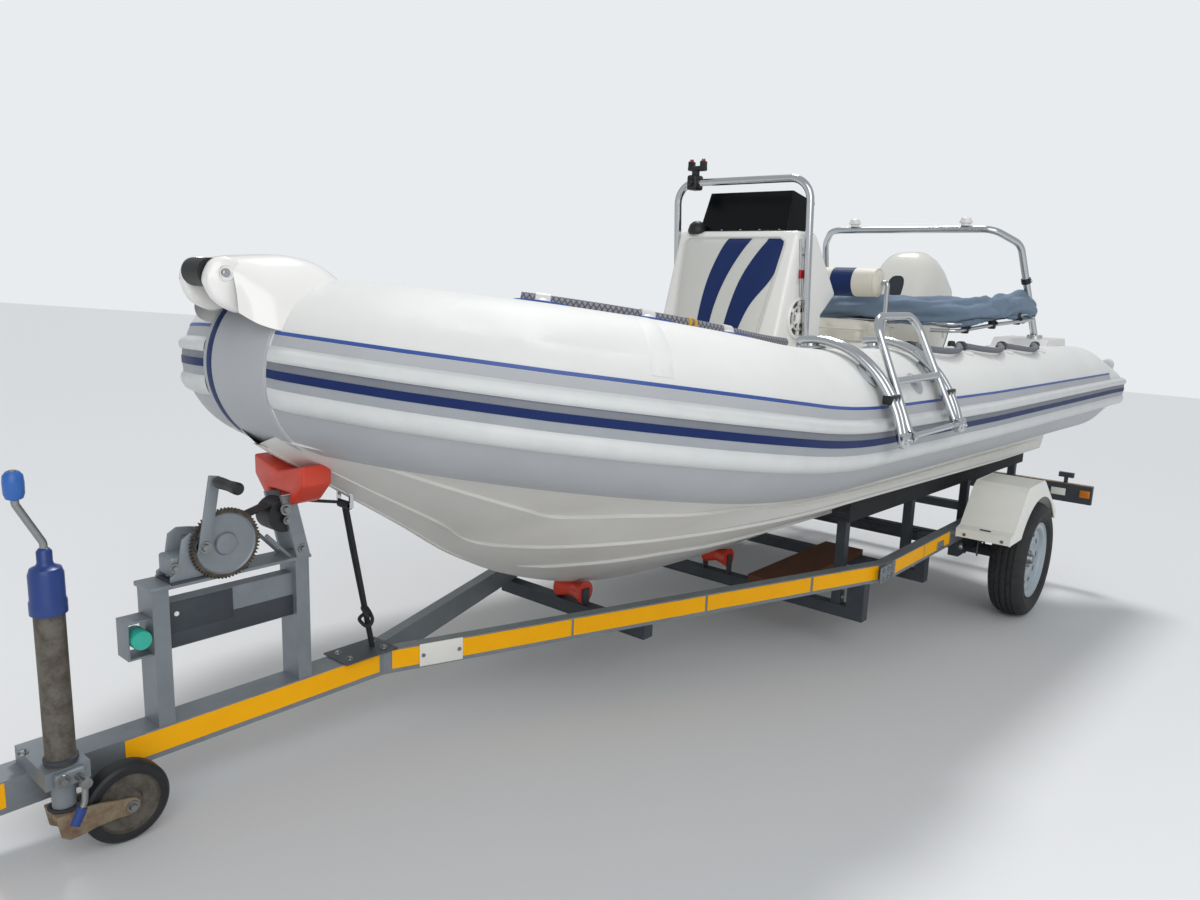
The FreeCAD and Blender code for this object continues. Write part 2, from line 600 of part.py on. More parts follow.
ears = slab([(-60, 40), (20, 26), (20, -26), (-60, -60)], 52)
web = slab([(-50, 40), (-50, -60), (-90, -230), (-110, -230), (-110, 40)], 18)
steer_tube = Part.makeCylinder(32, 270, Vector(-s.steer_behind, 0, -230), Z)
swivel = ears.fuse([web, steer_tube])
swivel = swivel.cut([Part.makeCylinder(12.4, 200, Vector(0, -100, 0), Y),
                     Part.makeCylinder(14.4, 300, Vector(-s.steer_behind, 0, -240), Z)])
publish("motor_swivel", shaped(tilted(swivel)))

COWL = (
    # height, front, back, half breadth
    (60, 30, -440, 150),
    (130, 40, -540, 190),
    (350, 30, -580, 200),
    (520, 0, -560, 180),
    (620, -80, -440, 120),
)


def cowl_ring(height, front, back, half):
    """Rounded plan section of the cowl, narrower at the back."""
    nose_point, tail_point = Vector(front, 0, height), Vector(back, 0, height)
    shoulder, hip = front - 0.55 * half, back + 0.9 * half
    arcs = [
        Part.Arc(Vector(shoulder, -half, height), nose_point, Vector(shoulder, half, height)).toShape(),
        Part.LineSegment(Vector(shoulder, half, height), Vector(hip, half * 0.94, height)).toShape(),
        Part.Arc(Vector(hip, half * 0.94, height), tail_point, Vector(hip, -half * 0.94, height)).toShape(),
        Part.LineSegment(Vector(hip, -half * 0.94, height), Vector(shoulder, -half, height)).toShape(),
    ]
    return Part.Wire(arcs)


publish("motor_cowl", shaped(tilted(Part.makeLoft([cowl_ring(*ring) for ring in COWL], True, True))))
midsection = slab([(-155, 60), (-380, 60), (-330, -20), (-250, -120), (-250, -620), (-155, -620)], 55)
yokes = [slab([(-160, top), (-86, top), (-86, top - 14), (-160, top - 14)], 26) for top in (60, -236)]
steer_pin = Part.makeCylinder(14, 306, Vector(-s.steer_behind, 0, -250), Z)
leg = slab([(-130, -620), (-240, -620), (-250, -760), (-230, -s.leg_length), (-130, -s.leg_length)], 32)
plate = slab([(-110, -622), (-110, -612), (-400, -612), (-400, -622)], 90)
gearcase = Part.makeCone(56, 30, 190, Vector(-130, 0, -s.leg_length), -X)
bullet = Part.makeSphere(56, Vector(-130, 0, -s.leg_length))
skeg = slab([(-120, -s.leg_length), (-250, -s.leg_length), (-270, -980), (-230, -985)], 9)
shaft = Part.makeCylinder(8, 98, Vector(-318, 0, -s.leg_length), -X)
gear_leg = midsection.fuse(yokes + [steer_pin, leg, plate, gearcase, bullet, skeg, shaft])
publish("motor_leg", shaped(tilted(gear_leg)))
prop_hub = Part.makeCylinder(38, 100, Vector(-326, 0, -s.leg_length), -X)
blades = []
for turn in (0, 120, 240):
    blade = Part.makeBox(12, 90, s.propeller_radius - 30, Vector(-6, -45, 30))
    blade = blade.common(Part.makeCylinder(s.propeller_radius, 40, Vector(-20, 0, 0), X))
    blade.rotate(Vector(), Z, 24)
    blade.rotate(Vector(), X, turn)
    blade.translate(Vector(-376, 0, -s.leg_length))
    blades.append(blade)
prop_bore = Part.makeCylinder(8.4, 94, Vector(-326, 0, -s.leg_length), -X)
publish("propeller", shaped(tilted(prop_hub.fuse(blades).cut(prop_bore))))

# Boarding ladder folded over the port tube, its fixed rails and the fittings on the tubes


def on_tube(ahead, angle, clear):
    """Point above the port tube's skin at a station and an angle up from the outer side."""
    side, height = tube_line(ahead)
    turn = math.radians(angle)
    reach = s.tube_radius + clear
    return Vector(ahead, side + reach * math.cos(turn), height + reach * math.sin(turn))


def patch(ahead, angle, radius, thick):
    """Round patch glued on the port tube."""
    out = on_tube(ahead, angle, 0) - on_tube(ahead, angle, -100)
    plug = Part.makeCylinder(radius, 60, on_tube(ahead, angle, -30), out)
    skin = Part.makeCylinder(s.tube_radius + thick, 400, on_tube(ahead - 200, 0, -s.tube_radius), side_along)
    return plug.common(skin).cut(port_run)


hinge = Vector(s.ladder_ahead, s.tube_side + s.ladder_hinge_out, s.tube_height + s.ladder_hinge_rise)
rail_clear = s.ladder_pipe + 20
ladder_fixed = []
for ahead in (s.ladder_ahead - s.ladder_half - 45, s.ladder_ahead + s.ladder_half + 45):
    for offset in (-14, 14):
        station = ahead + offset
        foot = Vector(station, hinge.y, hinge.z - 20)
        route = [foot, on_tube(station, 16, rail_clear + 12)]
        route += [on_tube(station, angle, rail_clear) for angle in (40, 65, 88, 104)]
        ladder_fixed.append(pipe(route, s.ladder_pipe, 600))
    for angle in (45, 98):
        out = on_tube(ahead, angle, 0) - on_tube(ahead, angle, -100)
        ladder_fixed.append(Part.makeCylinder(20, rail_clear, on_tube(ahead, angle, 0), out))
    inner = -1 if ahead > s.ladder_ahead else 1
    pin_at = Vector(ahead - 26 * inner, hinge.y, hinge.z)
    ladder_fixed.append(Part.makeCylinder(6, 82, pin_at, X * inner))
ladder_rails = ladder_fixed[0].fuse(ladder_fixed[1:]).cut(port_run)
publish("ladder_rails", shaped(ladder_rails))

head = hinge + Vector(0, -160, 347)
ladder_route = [
    hinge + X * s.ladder_half, head + X * (s.ladder_half - 30), head - X * (s.ladder_half - 30),
    hinge - X * s.ladder_half,
]
rung_at = hinge + (head - hinge) * 0.45
rung = Part.makeCylinder(s.ladder_pipe, 2 * s.ladder_half - 40, rung_at - X * (s.ladder_half - 20), X)
eyes = [Part.makeCylinder(18, 25, hinge + X * (side * s.ladder_half - 12.5), X) for side in (1, -1)]
pin_bores = [Part.makeCylinder(6.4, 40, hinge + X * (side * s.ladder_half - 20), X) for side in (1, -1)]
publish("ladder_fold", shaped(pipe(ladder_route, s.ladder_pipe, 70).fuse([rung] + eyes).cut(pin_bores)))

LIFELINE = (1560, 1029, 505, -22)
lifeline_clear = s.band_thickness + 12.6
swags = [on_tube(LIFELINE[0] + 25, 78, lifeline_clear)]
for front, back in zip(LIFELINE, LIFELINE[1:]):
    swags += [on_tube(front - 25, 78, lifeline_clear), on_tube((front + back) / 2, 64, lifeline_clear + 4),
              on_tube(back + 25, 78, lifeline_clear)]
swags.append(on_tube(LIFELINE[-1] - 25, 78, lifeline_clear))
lifeline = pipe(swags, 12, 500)
publish("lifelines", shaped(lifeline), shaped(mirrored(lifeline)))
life_pads = [patch(ahead, 78, 62, s.band_thickness) for ahead in LIFELINE]
rope_at = section_point(104, s.tube_radius + s.band_thickness + s.rope_radius)
rope_section = Part.Face(Part.Wire([Part.makeCircle(s.rope_radius, rope_at, bow_up.cross(Y))]))
rope_bend = rope_section.revolve(sheer_centre, Y, 4.4)
bow_rope = round_bow(rope_section, 0, 50).fuse(rope_bend)
publish("bow_line", shaped(bow_rope), shaped(mirrored(bow_rope)))
pad_section = Part.Face(Part.Wire([Part.makeCircle(s.tube_radius + s.band_thickness, bow_start, bow_up.cross(Y))]))
pad_ring = pad_section.cut(tube_section)
bow_pads = []
for start in (2, 22, 42):
    ring = round_bow(pad_ring, start, start + 8)
    out = section_point(104, 100) - bow_start
    middle = section_point(104, s.tube_radius)
    plug = Part.makeCylinder(60, 100, middle - out * 0.5, out)
    plug.rotate(bow_centre, bow_up, -start - 4)
    bow_pads.append(ring.common(plug))
pads = life_pads + bow_pads
publish("tube_pads", *[shaped(piece) for piece in pads + [mirrored(pad) for pad in pads]])

# Trailer frame

wall_face = "rail_outside - rail_width"
side_rail = box(("rail_rear", "bend_ahead"), (wall_face, "rail_outside"), ("rail_top - rail_depth", "rail_top"))
drawn_rail = prism("XY_Plane", [
    ("bend_ahead", wall_face), ("bend_ahead", "rail_outside"), ("knee_ahead", "tongue_width / 2"),
    ("knee_ahead", "tongue_width / 2 - rail_width + 10"),
], "rail_top - rail_depth", "rail_top")
port_rail = joined(side_rail, drawn_rail)
stays = []
for start in ("guard_front - guard_wall - 20", "guard_rear + guard_wall"):
    for low, high in (("rail_outside", "guard_outside - 12"), ("12 - guard_outside", "-rail_outside")):
        stays.append(box((start, f"{start} + 20"), (low, high), (455, 474)))
publish("side_rails", port_rail, other_side(port_rail), *stays)
publish("drawbar", box(("knee_ahead", "coupler_ahead - 120"), ("-tongue_width / 2", "tongue_width / 2"),
                       ("rail_top - rail_depth", "rail_top")))
BEAMS = (
    # ahead of the axle, half length, half length of its hangers' inner face, keel height above it
    (-1000, 711, 661, 0),
    (-170, 711, 661, 375.7),
    (600, 711, 661, 0),
    (1302, 724, 650, 389.1),
    (2300, 360, 0, 472),
)


def bunk_base(ahead):
    """Height of the underside of a bunk."""
    return 590 + 0.025 * (ahead + 1060)


beams = []
rollers = []
for ahead, half, hanger, keel in BEAMS:
    top = 290 if hanger else 400
    beams.append(box((ahead - 25, ahead + 25), (-half, half), (top - 50, top)))
    if hanger:
        for low, high in ((hanger, half), (-half, -hanger)):
            beams.append(box((ahead - 25, ahead + 25), (low, high), (top, 400 if hanger < 661 else 476)))
        for low, high in ((580, 620), (-620, -580)):
            beams.append(box((ahead - 20, ahead + 20), (low, high), (top, bunk_base(ahead - 20))))
    if keel:
        centre = keel - 28 if hanger else keel - 28.6
        for low, high in ((61, 67), (-67, -61)):
            beams.append(box((ahead - 18, ahead + 18), (low, high), (top, centre + 15)))
        rollers.append(spun("Y", [(0, -61), (43, -61), (28, -6), (28, 6), (43, 61), (0, 61)], (ahead, 0, centre)))
publish("cross_beams", joined(*beams))
publish("keel_rollers", *rollers)
publish("plank", box((570, 1330), (180, 380), (290, 318)))
stub = rod(Y, 20, (0, "-wheel_side - 36", "tyre_radius"), "2 * wheel_side + 72")
beam_axle = rod(Y, "axle_radius", (0, "-wheel_side + 60", "tyre_radius"), "2 * (wheel_side - 60)")
springs = []
for low, high in ((711, 761), (-761, -711)):
    springs.append(box((-330, 330), (low, high), ("tyre_radius + axle_radius - 4", 345)))
    for ahead in (-330, 290):
        springs.append(box((ahead, ahead + 40), (low, high), (345, "rail_top - rail_depth")))
publish("axle", joined(stub, beam_axle, *springs))

# Road wheels

TYRE = [
    ("rim_radius - 6", "-tyre_width * 0.36"), ("rim_radius + 14", "-tyre_width * 0.42"),
    ("tyre_radius - 48", "-tyre_width * 0.5"), ("tyre_radius - 14", "-tyre_width * 0.44"),
    ("tyre_radius", "-tyre_width * 0.32"), ("tyre_radius", "tyre_width * 0.32"),
    ("tyre_radius - 14", "tyre_width * 0.44"), ("tyre_radius - 48", "tyre_width * 0.5"),
    ("rim_radius + 14", "tyre_width * 0.42"), ("rim_radius - 6", "tyre_width * 0.36"),
]
RIM = [
    (0, 40), (20.4, 40), (20.4, -44), (46, -44), (46, 16), (60, 20), (76, 34), (120, 30), (150, 44), (172, 40),
    (172, -52), (166, "-tyre_width * 0.4"), ("rim_radius", "-tyre_width * 0.4"),
    ("rim_radius", "-tyre_width * 0.378"), ("rim_radius - 6", "-tyre_width * 0.36"),
    ("rim_radius - 6", "tyre_width * 0.36"), ("rim_radius", "tyre_width * 0.378"),
    ("rim_radius", "tyre_width * 0.4"), (162, "tyre_width * 0.4"), (156, 52), (120, 38), (80, 42), (56, 28),
    (26, 28), (26, 54), (22, 60), (0, 60),
]
for side, name in ((1, "port"), (-1, "starboard")):
    centre = (0, f"{side} * wheel_side", "tyre_radius")
    publish(f"tyre_{name}", spun("Y", TYRE, centre))
    face = [(radius, f"{side} * ({along})") for radius, along in RIM]
    publish(f"rim_{name}", spun("Y", face, centre))

# Jockey wheel beside the drawbar

park_slope = math.radians(s.park_angle)
wheel_ahead = s.jockey_ahead - s.jockey_trail
sunk = s.tyre_radius * (1 - math.cos(park_slope))
jockey_axle_z = (s.jockey_wheel_radius - sunk + wheel_ahead * math.sin(park_slope)) / math.cos(park_slope)
jockey_at = Vector(s.jockey_ahead, s.jockey_side, 0)
leg_bottom = 415
fork_top = leg_bottom - s.running_gap
outer = Part.makeCylinder(s.jockey_tube_radius, s.jockey_tube_top - 470, jockey_at + Z * 470, Z)
cap = Part.makeCylinder(36, 100, jockey_at + Z * s.jockey_tube_top, Z)
bore = Part.makeCylinder(24.5, 380, jockey_at + Z * 470, Z)
crank = pipe([
    jockey_at + Z * (s.jockey_tube_top + 98), jockey_at + Z * (s.jockey_tube_top + 140),
    jockey_at + Vector(45, 0, s.jockey_tube_top + 230), jockey_at + Vector(45, 0, s.jockey_tube_top + 300),
], 8, 20)
publish("jockey_tube", shaped(outer.cut(bore).fuse([cap, crank])))
publish("jockey_clamp", carved(
    box(("jockey_ahead - 45", "jockey_ahead + 45"), (-30, "jockey_side + 36"), ("rail_top", "rail_top + 40")),
    rod(Z, "jockey_tube_radius", ("jockey_ahead", "jockey_side", 300), 300)))
king_pin = Part.makeCylinder(8, 30, jockey_at + Z * (leg_bottom - 25), Z)
publish("jockey_leg", shaped(Part.makeCylinder(24, 390, jockey_at + Z * leg_bottom, Z).fuse(king_pin)))
cheek = Part.makeBox(150, 8, fork_top - jockey_axle_z + 20, Vector(wheel_ahead - 20, 0, jockey_axle_z - 20))
cheek_port = cheek.copy()
cheek_port.translate(Y * (s.jockey_side + s.jockey_wheel_width / 2 + 6))
cheek_starboard = cheek.copy()
cheek_starboard.translate(Y * (s.jockey_side - s.jockey_wheel_width / 2 - 14))
crown_width = s.jockey_wheel_width + 28
crown = Part.makeBox(60, crown_width, 12, Vector(s.jockey_ahead - 30, s.jockey_side - crown_width / 2, fork_top - 12))
crown_web = Part.makeBox(20, crown_width, 70, Vector(s.jockey_ahead - 15, s.jockey_side - crown_width / 2, fork_top - 82))
fork_pin = Part.makeCylinder(6, crown_width, Vector(wheel_ahead, s.jockey_side - crown_width / 2, jockey_axle_z), Y)
king_bore = Part.makeCylinder(8.4, 22, jockey_at + Z * (fork_top - 20), Z)
publish("jockey_fork", shaped(cheek_port.fuse([cheek_starboard, crown, crown_web, fork_pin]).cut(king_bore)))
publish("jockey_wheel", spun("Y", [
    (6.5, "-jockey_wheel_width / 2"), (30, "-jockey_wheel_width / 2"), (34, "-jockey_wheel_width * 0.3"),
    (66, "-jockey_wheel_width * 0.3"), (70, "-jockey_wheel_width / 2"),
    ("jockey_wheel_radius - 8", "-jockey_wheel_width / 2"), ("jockey_wheel_radius", "-jockey_wheel_width * 0.3"),
    ("jockey_wheel_radius", "jockey_wheel_width * 0.3"), ("jockey_wheel_radius - 8", "jockey_wheel_width / 2"),
    (70, "jockey_wheel_width / 2"), (66, "jockey_wheel_width * 0.3"), (34, "jockey_wheel_width * 0.3"),
    (30, "jockey_wheel_width / 2"), (6.5, "jockey_wheel_width / 2"),
], (wheel_ahead, "jockey_side", jockey_axle_z)))

# Coupling head

socket = ("coupler_ahead", 0, "rail_top - rail_depth - 5")
coupler_body = prism("XZ_Plane", [
    ("coupler_ahead - 260", "rail_top + 10"), ("coupler_ahead - 260", "rail_top"),
    ("coupler_ahead - 120", "rail_top"), ("coupler_ahead - 120", "rail_top - rail_depth"),
    ("coupler_ahead + 20", "rail_top - rail_depth"), ("coupler_ahead + 45", "rail_top - rail_depth + 20"),
    ("coupler_ahead + 45", "rail_top - 30"), ("coupler_ahead - 20", "rail_top + 10"),
], -41, 41)
publish("coupler", carved(coupler_body, rod(Z, "ball_radius + 0.5", socket, 45)))

# Winch posts, winch and bow stop

arm = prism("XZ_Plane", [
    ("post_rear_ahead - 22", "post_top + 8"), ("post_rear_ahead + 18", "post_top + 8"),
    ("post_rear_ahead + 58", 1000), ("post_rear_ahead + 18", 1000),
], "post_half - 6", "post_half + 5")
publish("winch_posts", joined(
    box(("post_front_ahead - 20", "post_front_ahead + 20"), ("-post_half", "post_half"), ("rail_top", "post_top")),
    box(("post_rear_ahead - 20", "post_rear_ahead + 20"), ("-post_half", "post_half"), ("rail_top", "post_top")),
    box(("post_rear_ahead + 20", "post_front_ahead - 20"), (-20, 20), ("post_top - 160", "post_top - 40")),
    box(("post_rear_ahead - 25", "post_front_ahead + 25"), ("-post_half - 5", "post_half + 5"),
        ("post_top", "post_top + 8")),
    arm, other_side(arm)))
stop_roller = disc("Y", 44, "-post_half + 6", "post_half - 6", ("post_rear_ahead + 45", 0, 945))
publish("stop_roller", stop_roller)
CHOCK = [(-112, 1040), (-70, 985), (-46, 962), (46, 962), (70, 985), (112, 1040), (112, 1130), (-112, 1130)]
chock_low = Vector(s.post_rear_ahead - 70, 0, 0)
chock_outline = [Vector(chock_low.x, side, height) for side, height in CHOCK]
chock_block = Part.Face(Part.makePolygon(chock_outline + chock_outline[:1])).extrude(X * 130)
chock_slot = Part.makeBox(220, 2 * s.post_half + 10, 60, Vector(chock_low.x - 10, -s.post_half - 5, 946))
chock_block = chock_block.cut([hull_block, all_tubes, band, chock_slot])
publish("bow_chock", shaped(max(chock_block.Solids, key=lambda solid: solid.BoundBox.YLength * (solid.BoundBox.ZMin < 1000))))
drum = rod(Y, 28, (3667, -34, 909), 68)
gear = disc("Y", 90, 46, 54, (3667, 0, 909))
gear_shaft = rod(Y, 10, (3667, 38, 909), 14)
winch_crank = pipe([
    Vector(3732, 38, 917), Vector(3732, 75, 917), Vector(3702, 75, 1078), Vector(3702, 190, 1078),
], 9, 16)
publish("winch", joined(
    box((3610, 3800), (34, 40), ("post_top + 8", "post_top + 140")),
    box((3610, 3800), (-40, -34), ("post_top + 8", "post_top + 140")),
    box((3610, 3800), (-40, 40), ("post_top + 8", "post_top + 14")),
    drum, gear, gear_shaft, shaped(winch_crank)))
eye_x, eye_z = 3286, 935
eye_rod = rod(Y, 6, (eye_x, -33, eye_z), 66)
eye_legs = Part.makeBox(12, 6, 60, Vector(eye_x - 6, 27, eye_z - 6))
eye_legs = eye_legs.fuse(mirrored(eye_legs)).cut(hull_block)
publish("bow_eye", joined(eye_rod, shaped(eye_legs)))
strap_web = prism("XZ_Plane", [(3667, 936), (3496, 988), (3286, 943), (3286, 946), (3496, 992), (3667, 940)], -25, 25)
winch_strap = carved(joined(strap_web, rod(Y, 11, (eye_x, -25, eye_z), 50)), eye_rod, stop_roller, drum)
tie_down = prism("XZ_Plane", [(3284, 924), (3198, "rail_top"), (3202, "rail_top"), (3288, 924)], -15, 15)
publish("straps", winch_strap, tie_down)

# Bunks and mudguards

bunk = carved(prism("XZ_Plane", [
    (-1060, bunk_base(-1060)), (1340, bunk_base(1340)), (1340, bunk_base(1340) + 85), (-1060, bunk_base(-1060) + 65),
], 560, 640), shaped(hull_block))
publish("bunks", bunk, other_side(bunk))

GUARD = (
    # end of the guard it is measured from, distance towards the middle, height under the top, wall inside
    ("guard_front", 0, 240, (-1, 0)), ("guard_front", 0, 200, (-1, 0)), ("guard_front", -50, 190, (-1, -1)),
    ("guard_front", -190, 22, (-1, -1)), ("guard_front", -225, 0, (0, -1)), ("guard_rear", 285, 0, (0, -1)),
    ("guard_rear", 260, 12, (1, -1)), ("guard_rear", 0, 195, (1, -1)), ("guard_rear", 0, 240, (1, 0)),
)


def guard_outline(wall, drop):
    """Side outline of a guard, drawn inside it by a wall and further down at its open foot."""
    return [(f"{end} + {along} + {wall * inward}", f"guard_top - {below} + {wall * under} - {drop * (below == 240)}")
            for end, along, below, (inward, under) in GUARD]


guard_solid = prism("XZ_Plane", guard_outline(0, 0), "guard_inside", "guard_outside")
hollow = prism("XZ_Plane", guard_outline(s.guard_wall, 20), "guard_inside - 10", "guard_outside - guard_wall")
wheel_arch = rod(Y, "tyre_radius + 45", (0, "guard_outside - 20", "tyre_radius - 15"), 60)
guard = carved(guard_solid, hollow, wheel_arch)
publish("mudguards", guard, other_side(guard))
light_top = box(("rail_rear - 30", "rail_rear - 4"), (850, 930), (536, 564))
light_neck = box(("rail_rear - 24", "rail_rear - 10"), (880, 900), (500, 536))
publish("light_board", joined(box(("rail_rear - 30", "rail_rear"), (-1040, 1040), (392, 500)), light_top, light_neck))


def check_and_export():
    """Stop at any feature that failed, then write every sub-part."""
    doc.recompute()
    for feature in doc.Objects:
        if "Invalid" in feature.State or "Error" in feature.State:
            raise RuntimeError(f"{feature.Name} {feature.Label} failed: {feature.State}")
    for feature in NODES:
        shape = feature.Shape
        if shape.isNull() or not shape.isValid() or not shape.Solids:
            raise RuntimeError(f"{feature.Label} has no valid shape")
        shape.exportStep(f"parts/{feature.Label}.step")
        print(f"{feature.Label}: {len(shape.Solids)} solids, {shape.Volume / 1e6:.2f} litres")


check_and_export()
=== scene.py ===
"""Dressed model of a rigid inflatable boat on its road trailer.

Every length is in metres. Pieces are drawn in the trailer's level frame, with the axle over x = 0
and +X to the bow, and set down nose-low by one matrix as their meshes are made.
"""

import logging
import math
from dataclasses import dataclass
from enum import Enum

import bmesh
import bpy
from mathutils import Matrix, Vector, noise


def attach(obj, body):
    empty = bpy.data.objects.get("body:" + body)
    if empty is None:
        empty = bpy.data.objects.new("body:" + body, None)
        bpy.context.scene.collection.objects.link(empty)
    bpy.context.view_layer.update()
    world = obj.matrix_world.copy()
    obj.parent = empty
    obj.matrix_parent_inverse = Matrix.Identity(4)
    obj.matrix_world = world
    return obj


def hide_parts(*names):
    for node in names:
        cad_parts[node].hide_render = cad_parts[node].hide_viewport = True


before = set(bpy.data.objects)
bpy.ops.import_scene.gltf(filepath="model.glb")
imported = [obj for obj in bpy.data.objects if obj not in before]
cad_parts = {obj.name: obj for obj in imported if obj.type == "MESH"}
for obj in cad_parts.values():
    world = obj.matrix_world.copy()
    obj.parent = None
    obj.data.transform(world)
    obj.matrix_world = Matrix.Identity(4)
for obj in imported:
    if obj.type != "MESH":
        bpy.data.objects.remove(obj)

LOG = logging.getLogger("boat")
ROOT = "boat_and_trailer"
UP = Vector((0, 0, 1))
# noise_vector draws its offsets from the clock unless a seed is set
NOISE_SEED = 1
AXLE_HEIGHT = 0.290
PARK_ANGLE = math.radians(3.95)
MIDDLE_AHEAD = 1.473
PARK = Matrix.Translation((-MIDDLE_AHEAD, 0, AXLE_HEIGHT * (1 - math.cos(PARK_ANGLE)))) @ Matrix.Rotation(
    PARK_ANGLE, 4, "Y")
TILT_AXIS = Vector((-0.850, 0, 1.080))
MOTOR = PARK @ Matrix.Translation(TILT_AXIS) @ Matrix.Rotation(math.radians(62), 4, "Y")


class Grain(Enum):
    """Surface patterns that a finish can carry."""

    SMOOTH = "smooth"
    FABRIC = "fabric"
    VINYL = "vinyl"
    CANVAS = "canvas"
    BRAID = "braid"
    WEBBING = "webbing"
    ZINC = "zinc"
    STEEL = "steel"
    RUST = "rust"
    RUBBER = "rubber"
    WOOD = "wood"


@dataclass(frozen=True)
class Finish:
    """One real surface finish.

    Attributes:
        name: material name.
        colour: main colour as a hex string.
        second: colour that the grain mixes in.
        grain: surface pattern.
        rough: shader roughness.
        metal: shader metallic value.
        scale: pattern repeats in a metre.
        bump: height of the pattern in metres.
        blend: how far the second colour comes through, from 0 to 1.
        coat: clear coat weight.
        shine: specular level.
    """

    name: str
    colour: str
    second: str
    grain: Grain = Grain.SMOOTH
    rough: float = 0.4
    metal: float = 0.0
    scale: float = 40.0
    bump: float = 0.0004
    blend: float = 0.35
    coat: float = 0.0
    shine: float = 0.5


TUBE = Finish("tube_fabric", "#E6E7E4", "#D9DAD6", Grain.FABRIC, 0.42, 0, 900, 0.00012, 0.5)
TUBE_GREY = Finish("tube_grey", "#B4B7BA", "#A4A7AB", Grain.FABRIC, 0.45, 0, 900, 0.00012, 0.5)
STRAKE_LIGHT = Finish("strake_light", "#D3D5D4", "#C2C4C4", Grain.RUBBER, 0.4, 0, 300, 0.0001, 0.4)
STRAKE_GREY = Finish("strake_grey", "#9CA1A6", "#8E9398", Grain.RUBBER, 0.45, 0, 300, 0.0001, 0.4)
# darker copy of the strake rubber: painted shade in the recess over the navy band, under the upper ridge
STRAKE_PAINTED_SHADE = Finish("strake_painted_shade", "#777B83", "#696E75", Grain.RUBBER, 0.5, 0, 300, 0.0001, 0.4)
NAVY = Finish("navy_stripe", "#13275A", "#182E62", Grain.RUBBER, 0.5, 0, 300, 0.0001, 0.4, 0, 0.2)
BLUE = Finish("blue_line", "#34529A", "#2C4A8C", Grain.RUBBER, 0.4, 0, 300, 0.0001, 0.4)
GELCOAT = Finish("gelcoat", "#DBDAD5", "#CFCDC6", Grain.SMOOTH, 0.42, 0, 3, 0.00002, 0.5, 0.0, 0.3)
MOULDING = Finish("white_moulding", "#F0EFEB", "#E6E5DF", Grain.SMOOTH, 0.2, 0, 5, 0.0001, 0.4, 0.5)
SOLE = Finish("sole", "#D2D1CB", "#C2C1BA", Grain.RUBBER, 0.6, 0, 160, 0.0008, 0.5)
VINYL = Finish("cream_vinyl", "#E4E0D2", "#D8D3C3", Grain.VINYL, 0.42, 0, 220, 0.0003, 0.4)
PAD = Finish("grey_vinyl", "#D4D4CF", "#C8C8C2", Grain.VINYL, 0.42, 0, 220, 0.0003, 0.4)
NAVY_VINYL = Finish("navy_vinyl", "#14295C", "#1B3368", Grain.VINYL, 0.5, 0, 220, 0.0002, 0.4, 0, 0.25)
CANVAS = Finish("canvas", "#7A8EA3", "#66798F", Grain.CANVAS, 0.75, 0, 420, 0.0004, 0.5)
BLACK = Finish("black_plastic", "#141517", "#1E1F22", Grain.RUBBER, 0.45, 0, 220, 0.0002, 0.4)
SCREEN = Finish("dark_screen", "#060709", "#0A0B0D", Grain.SMOOTH, 0.3, 0, 5, 0.00002, 0.3, 0, 0.2)
RED = Finish("red_plastic", "#B01B22", "#8F151B", Grain.SMOOTH, 0.3, 0, 30, 0.0001, 0.4)
STAINLESS = Finish("stainless", "#C9CCCE", "#B4B8BB", Grain.STEEL, 0.16, 1, 60, 0.00002, 0.4)
DULL_STEEL = Finish("dull_steel", "#9A9C9B", "#7F817F", Grain.STEEL, 0.34, 1, 80, 0.00006, 0.5)
ZINC = Finish("zinc", "#8E959A", "#767D82", Grain.ZINC, 0.5, 0.55, 26, 0.0003, 0.6)
DARK_ZINC = Finish("dark_zinc", "#4C5157", "#3B3F44", Grain.ZINC, 0.55, 0.5, 26, 0.0003, 0.6)
RUST = Finish("worn_tube", "#6B665E", "#4C443B", Grain.RUST, 0.6, 0.4, 34, 0.0005, 0.8)
RUSTY_ARM = Finish("rusty_arm", "#8D8069", "#6B4A36", Grain.RUST, 0.62, 0.3, 26, 0.0006, 0.8)
GEAR = Finish("gear_steel", "#5E564B", "#403A33", Grain.RUST, 0.55, 0.6, 60, 0.0004, 0.7)
BLUE_PLASTIC = Finish("blue_plastic", "#1C3A7C", "#16306A", Grain.RUBBER, 0.35, 0, 120, 0.0002, 0.4)
KNOB_BLUE = Finish("knob_blue", "#2B62AE", "#244F8E", Grain.RUBBER, 0.35, 0, 120, 0.0002, 0.4)
TEAL = Finish("teal_sleeve", "#35B5A0", "#2B9D8B", Grain.RUBBER, 0.35, 0, 120, 0.0002, 0.4)
TAPE = Finish("yellow_tape", "#FFB604", "#F2A800", Grain.RUBBER, 0.5, 0, 500, 0.00008, 0.35, 0, 0.2)
PLATE = Finish("white_plate", "#E8E8E2", "#D6D6CE", Grain.SMOOTH, 0.4, 0, 30, 0.0001, 0.4)
ORANGE_PU = Finish("red_block", "#D23A1E", "#B42D16", Grain.RUBBER, 0.36, 0, 60, 0.0003, 0.5, 0.2)
BLACK_PU = Finish("black_roller", "#17181A", "#242527", Grain.RUBBER, 0.5, 0, 120, 0.0003, 0.4)
TYRE = Finish("tyre", "#26272A", "#3A3936", Grain.RUBBER, 0.78, 0, 90, 0.0005, 0.5)
RIM = Finish("rim_paint", "#AEBAC0", "#96A2A8", Grain.SMOOTH, 0.34, 0.35, 30, 0.0001, 0.5)
GUARD = Finish("mudguard", "#EFEFE8", "#DEDDD2", Grain.SMOOTH, 0.32, 0, 8, 0.0002, 0.5)
ROPE = Finish("grey_rope", "#8B8B93", "#4A4A52", Grain.BRAID, 0.8, 0, 1, 0.0015, 1.0)
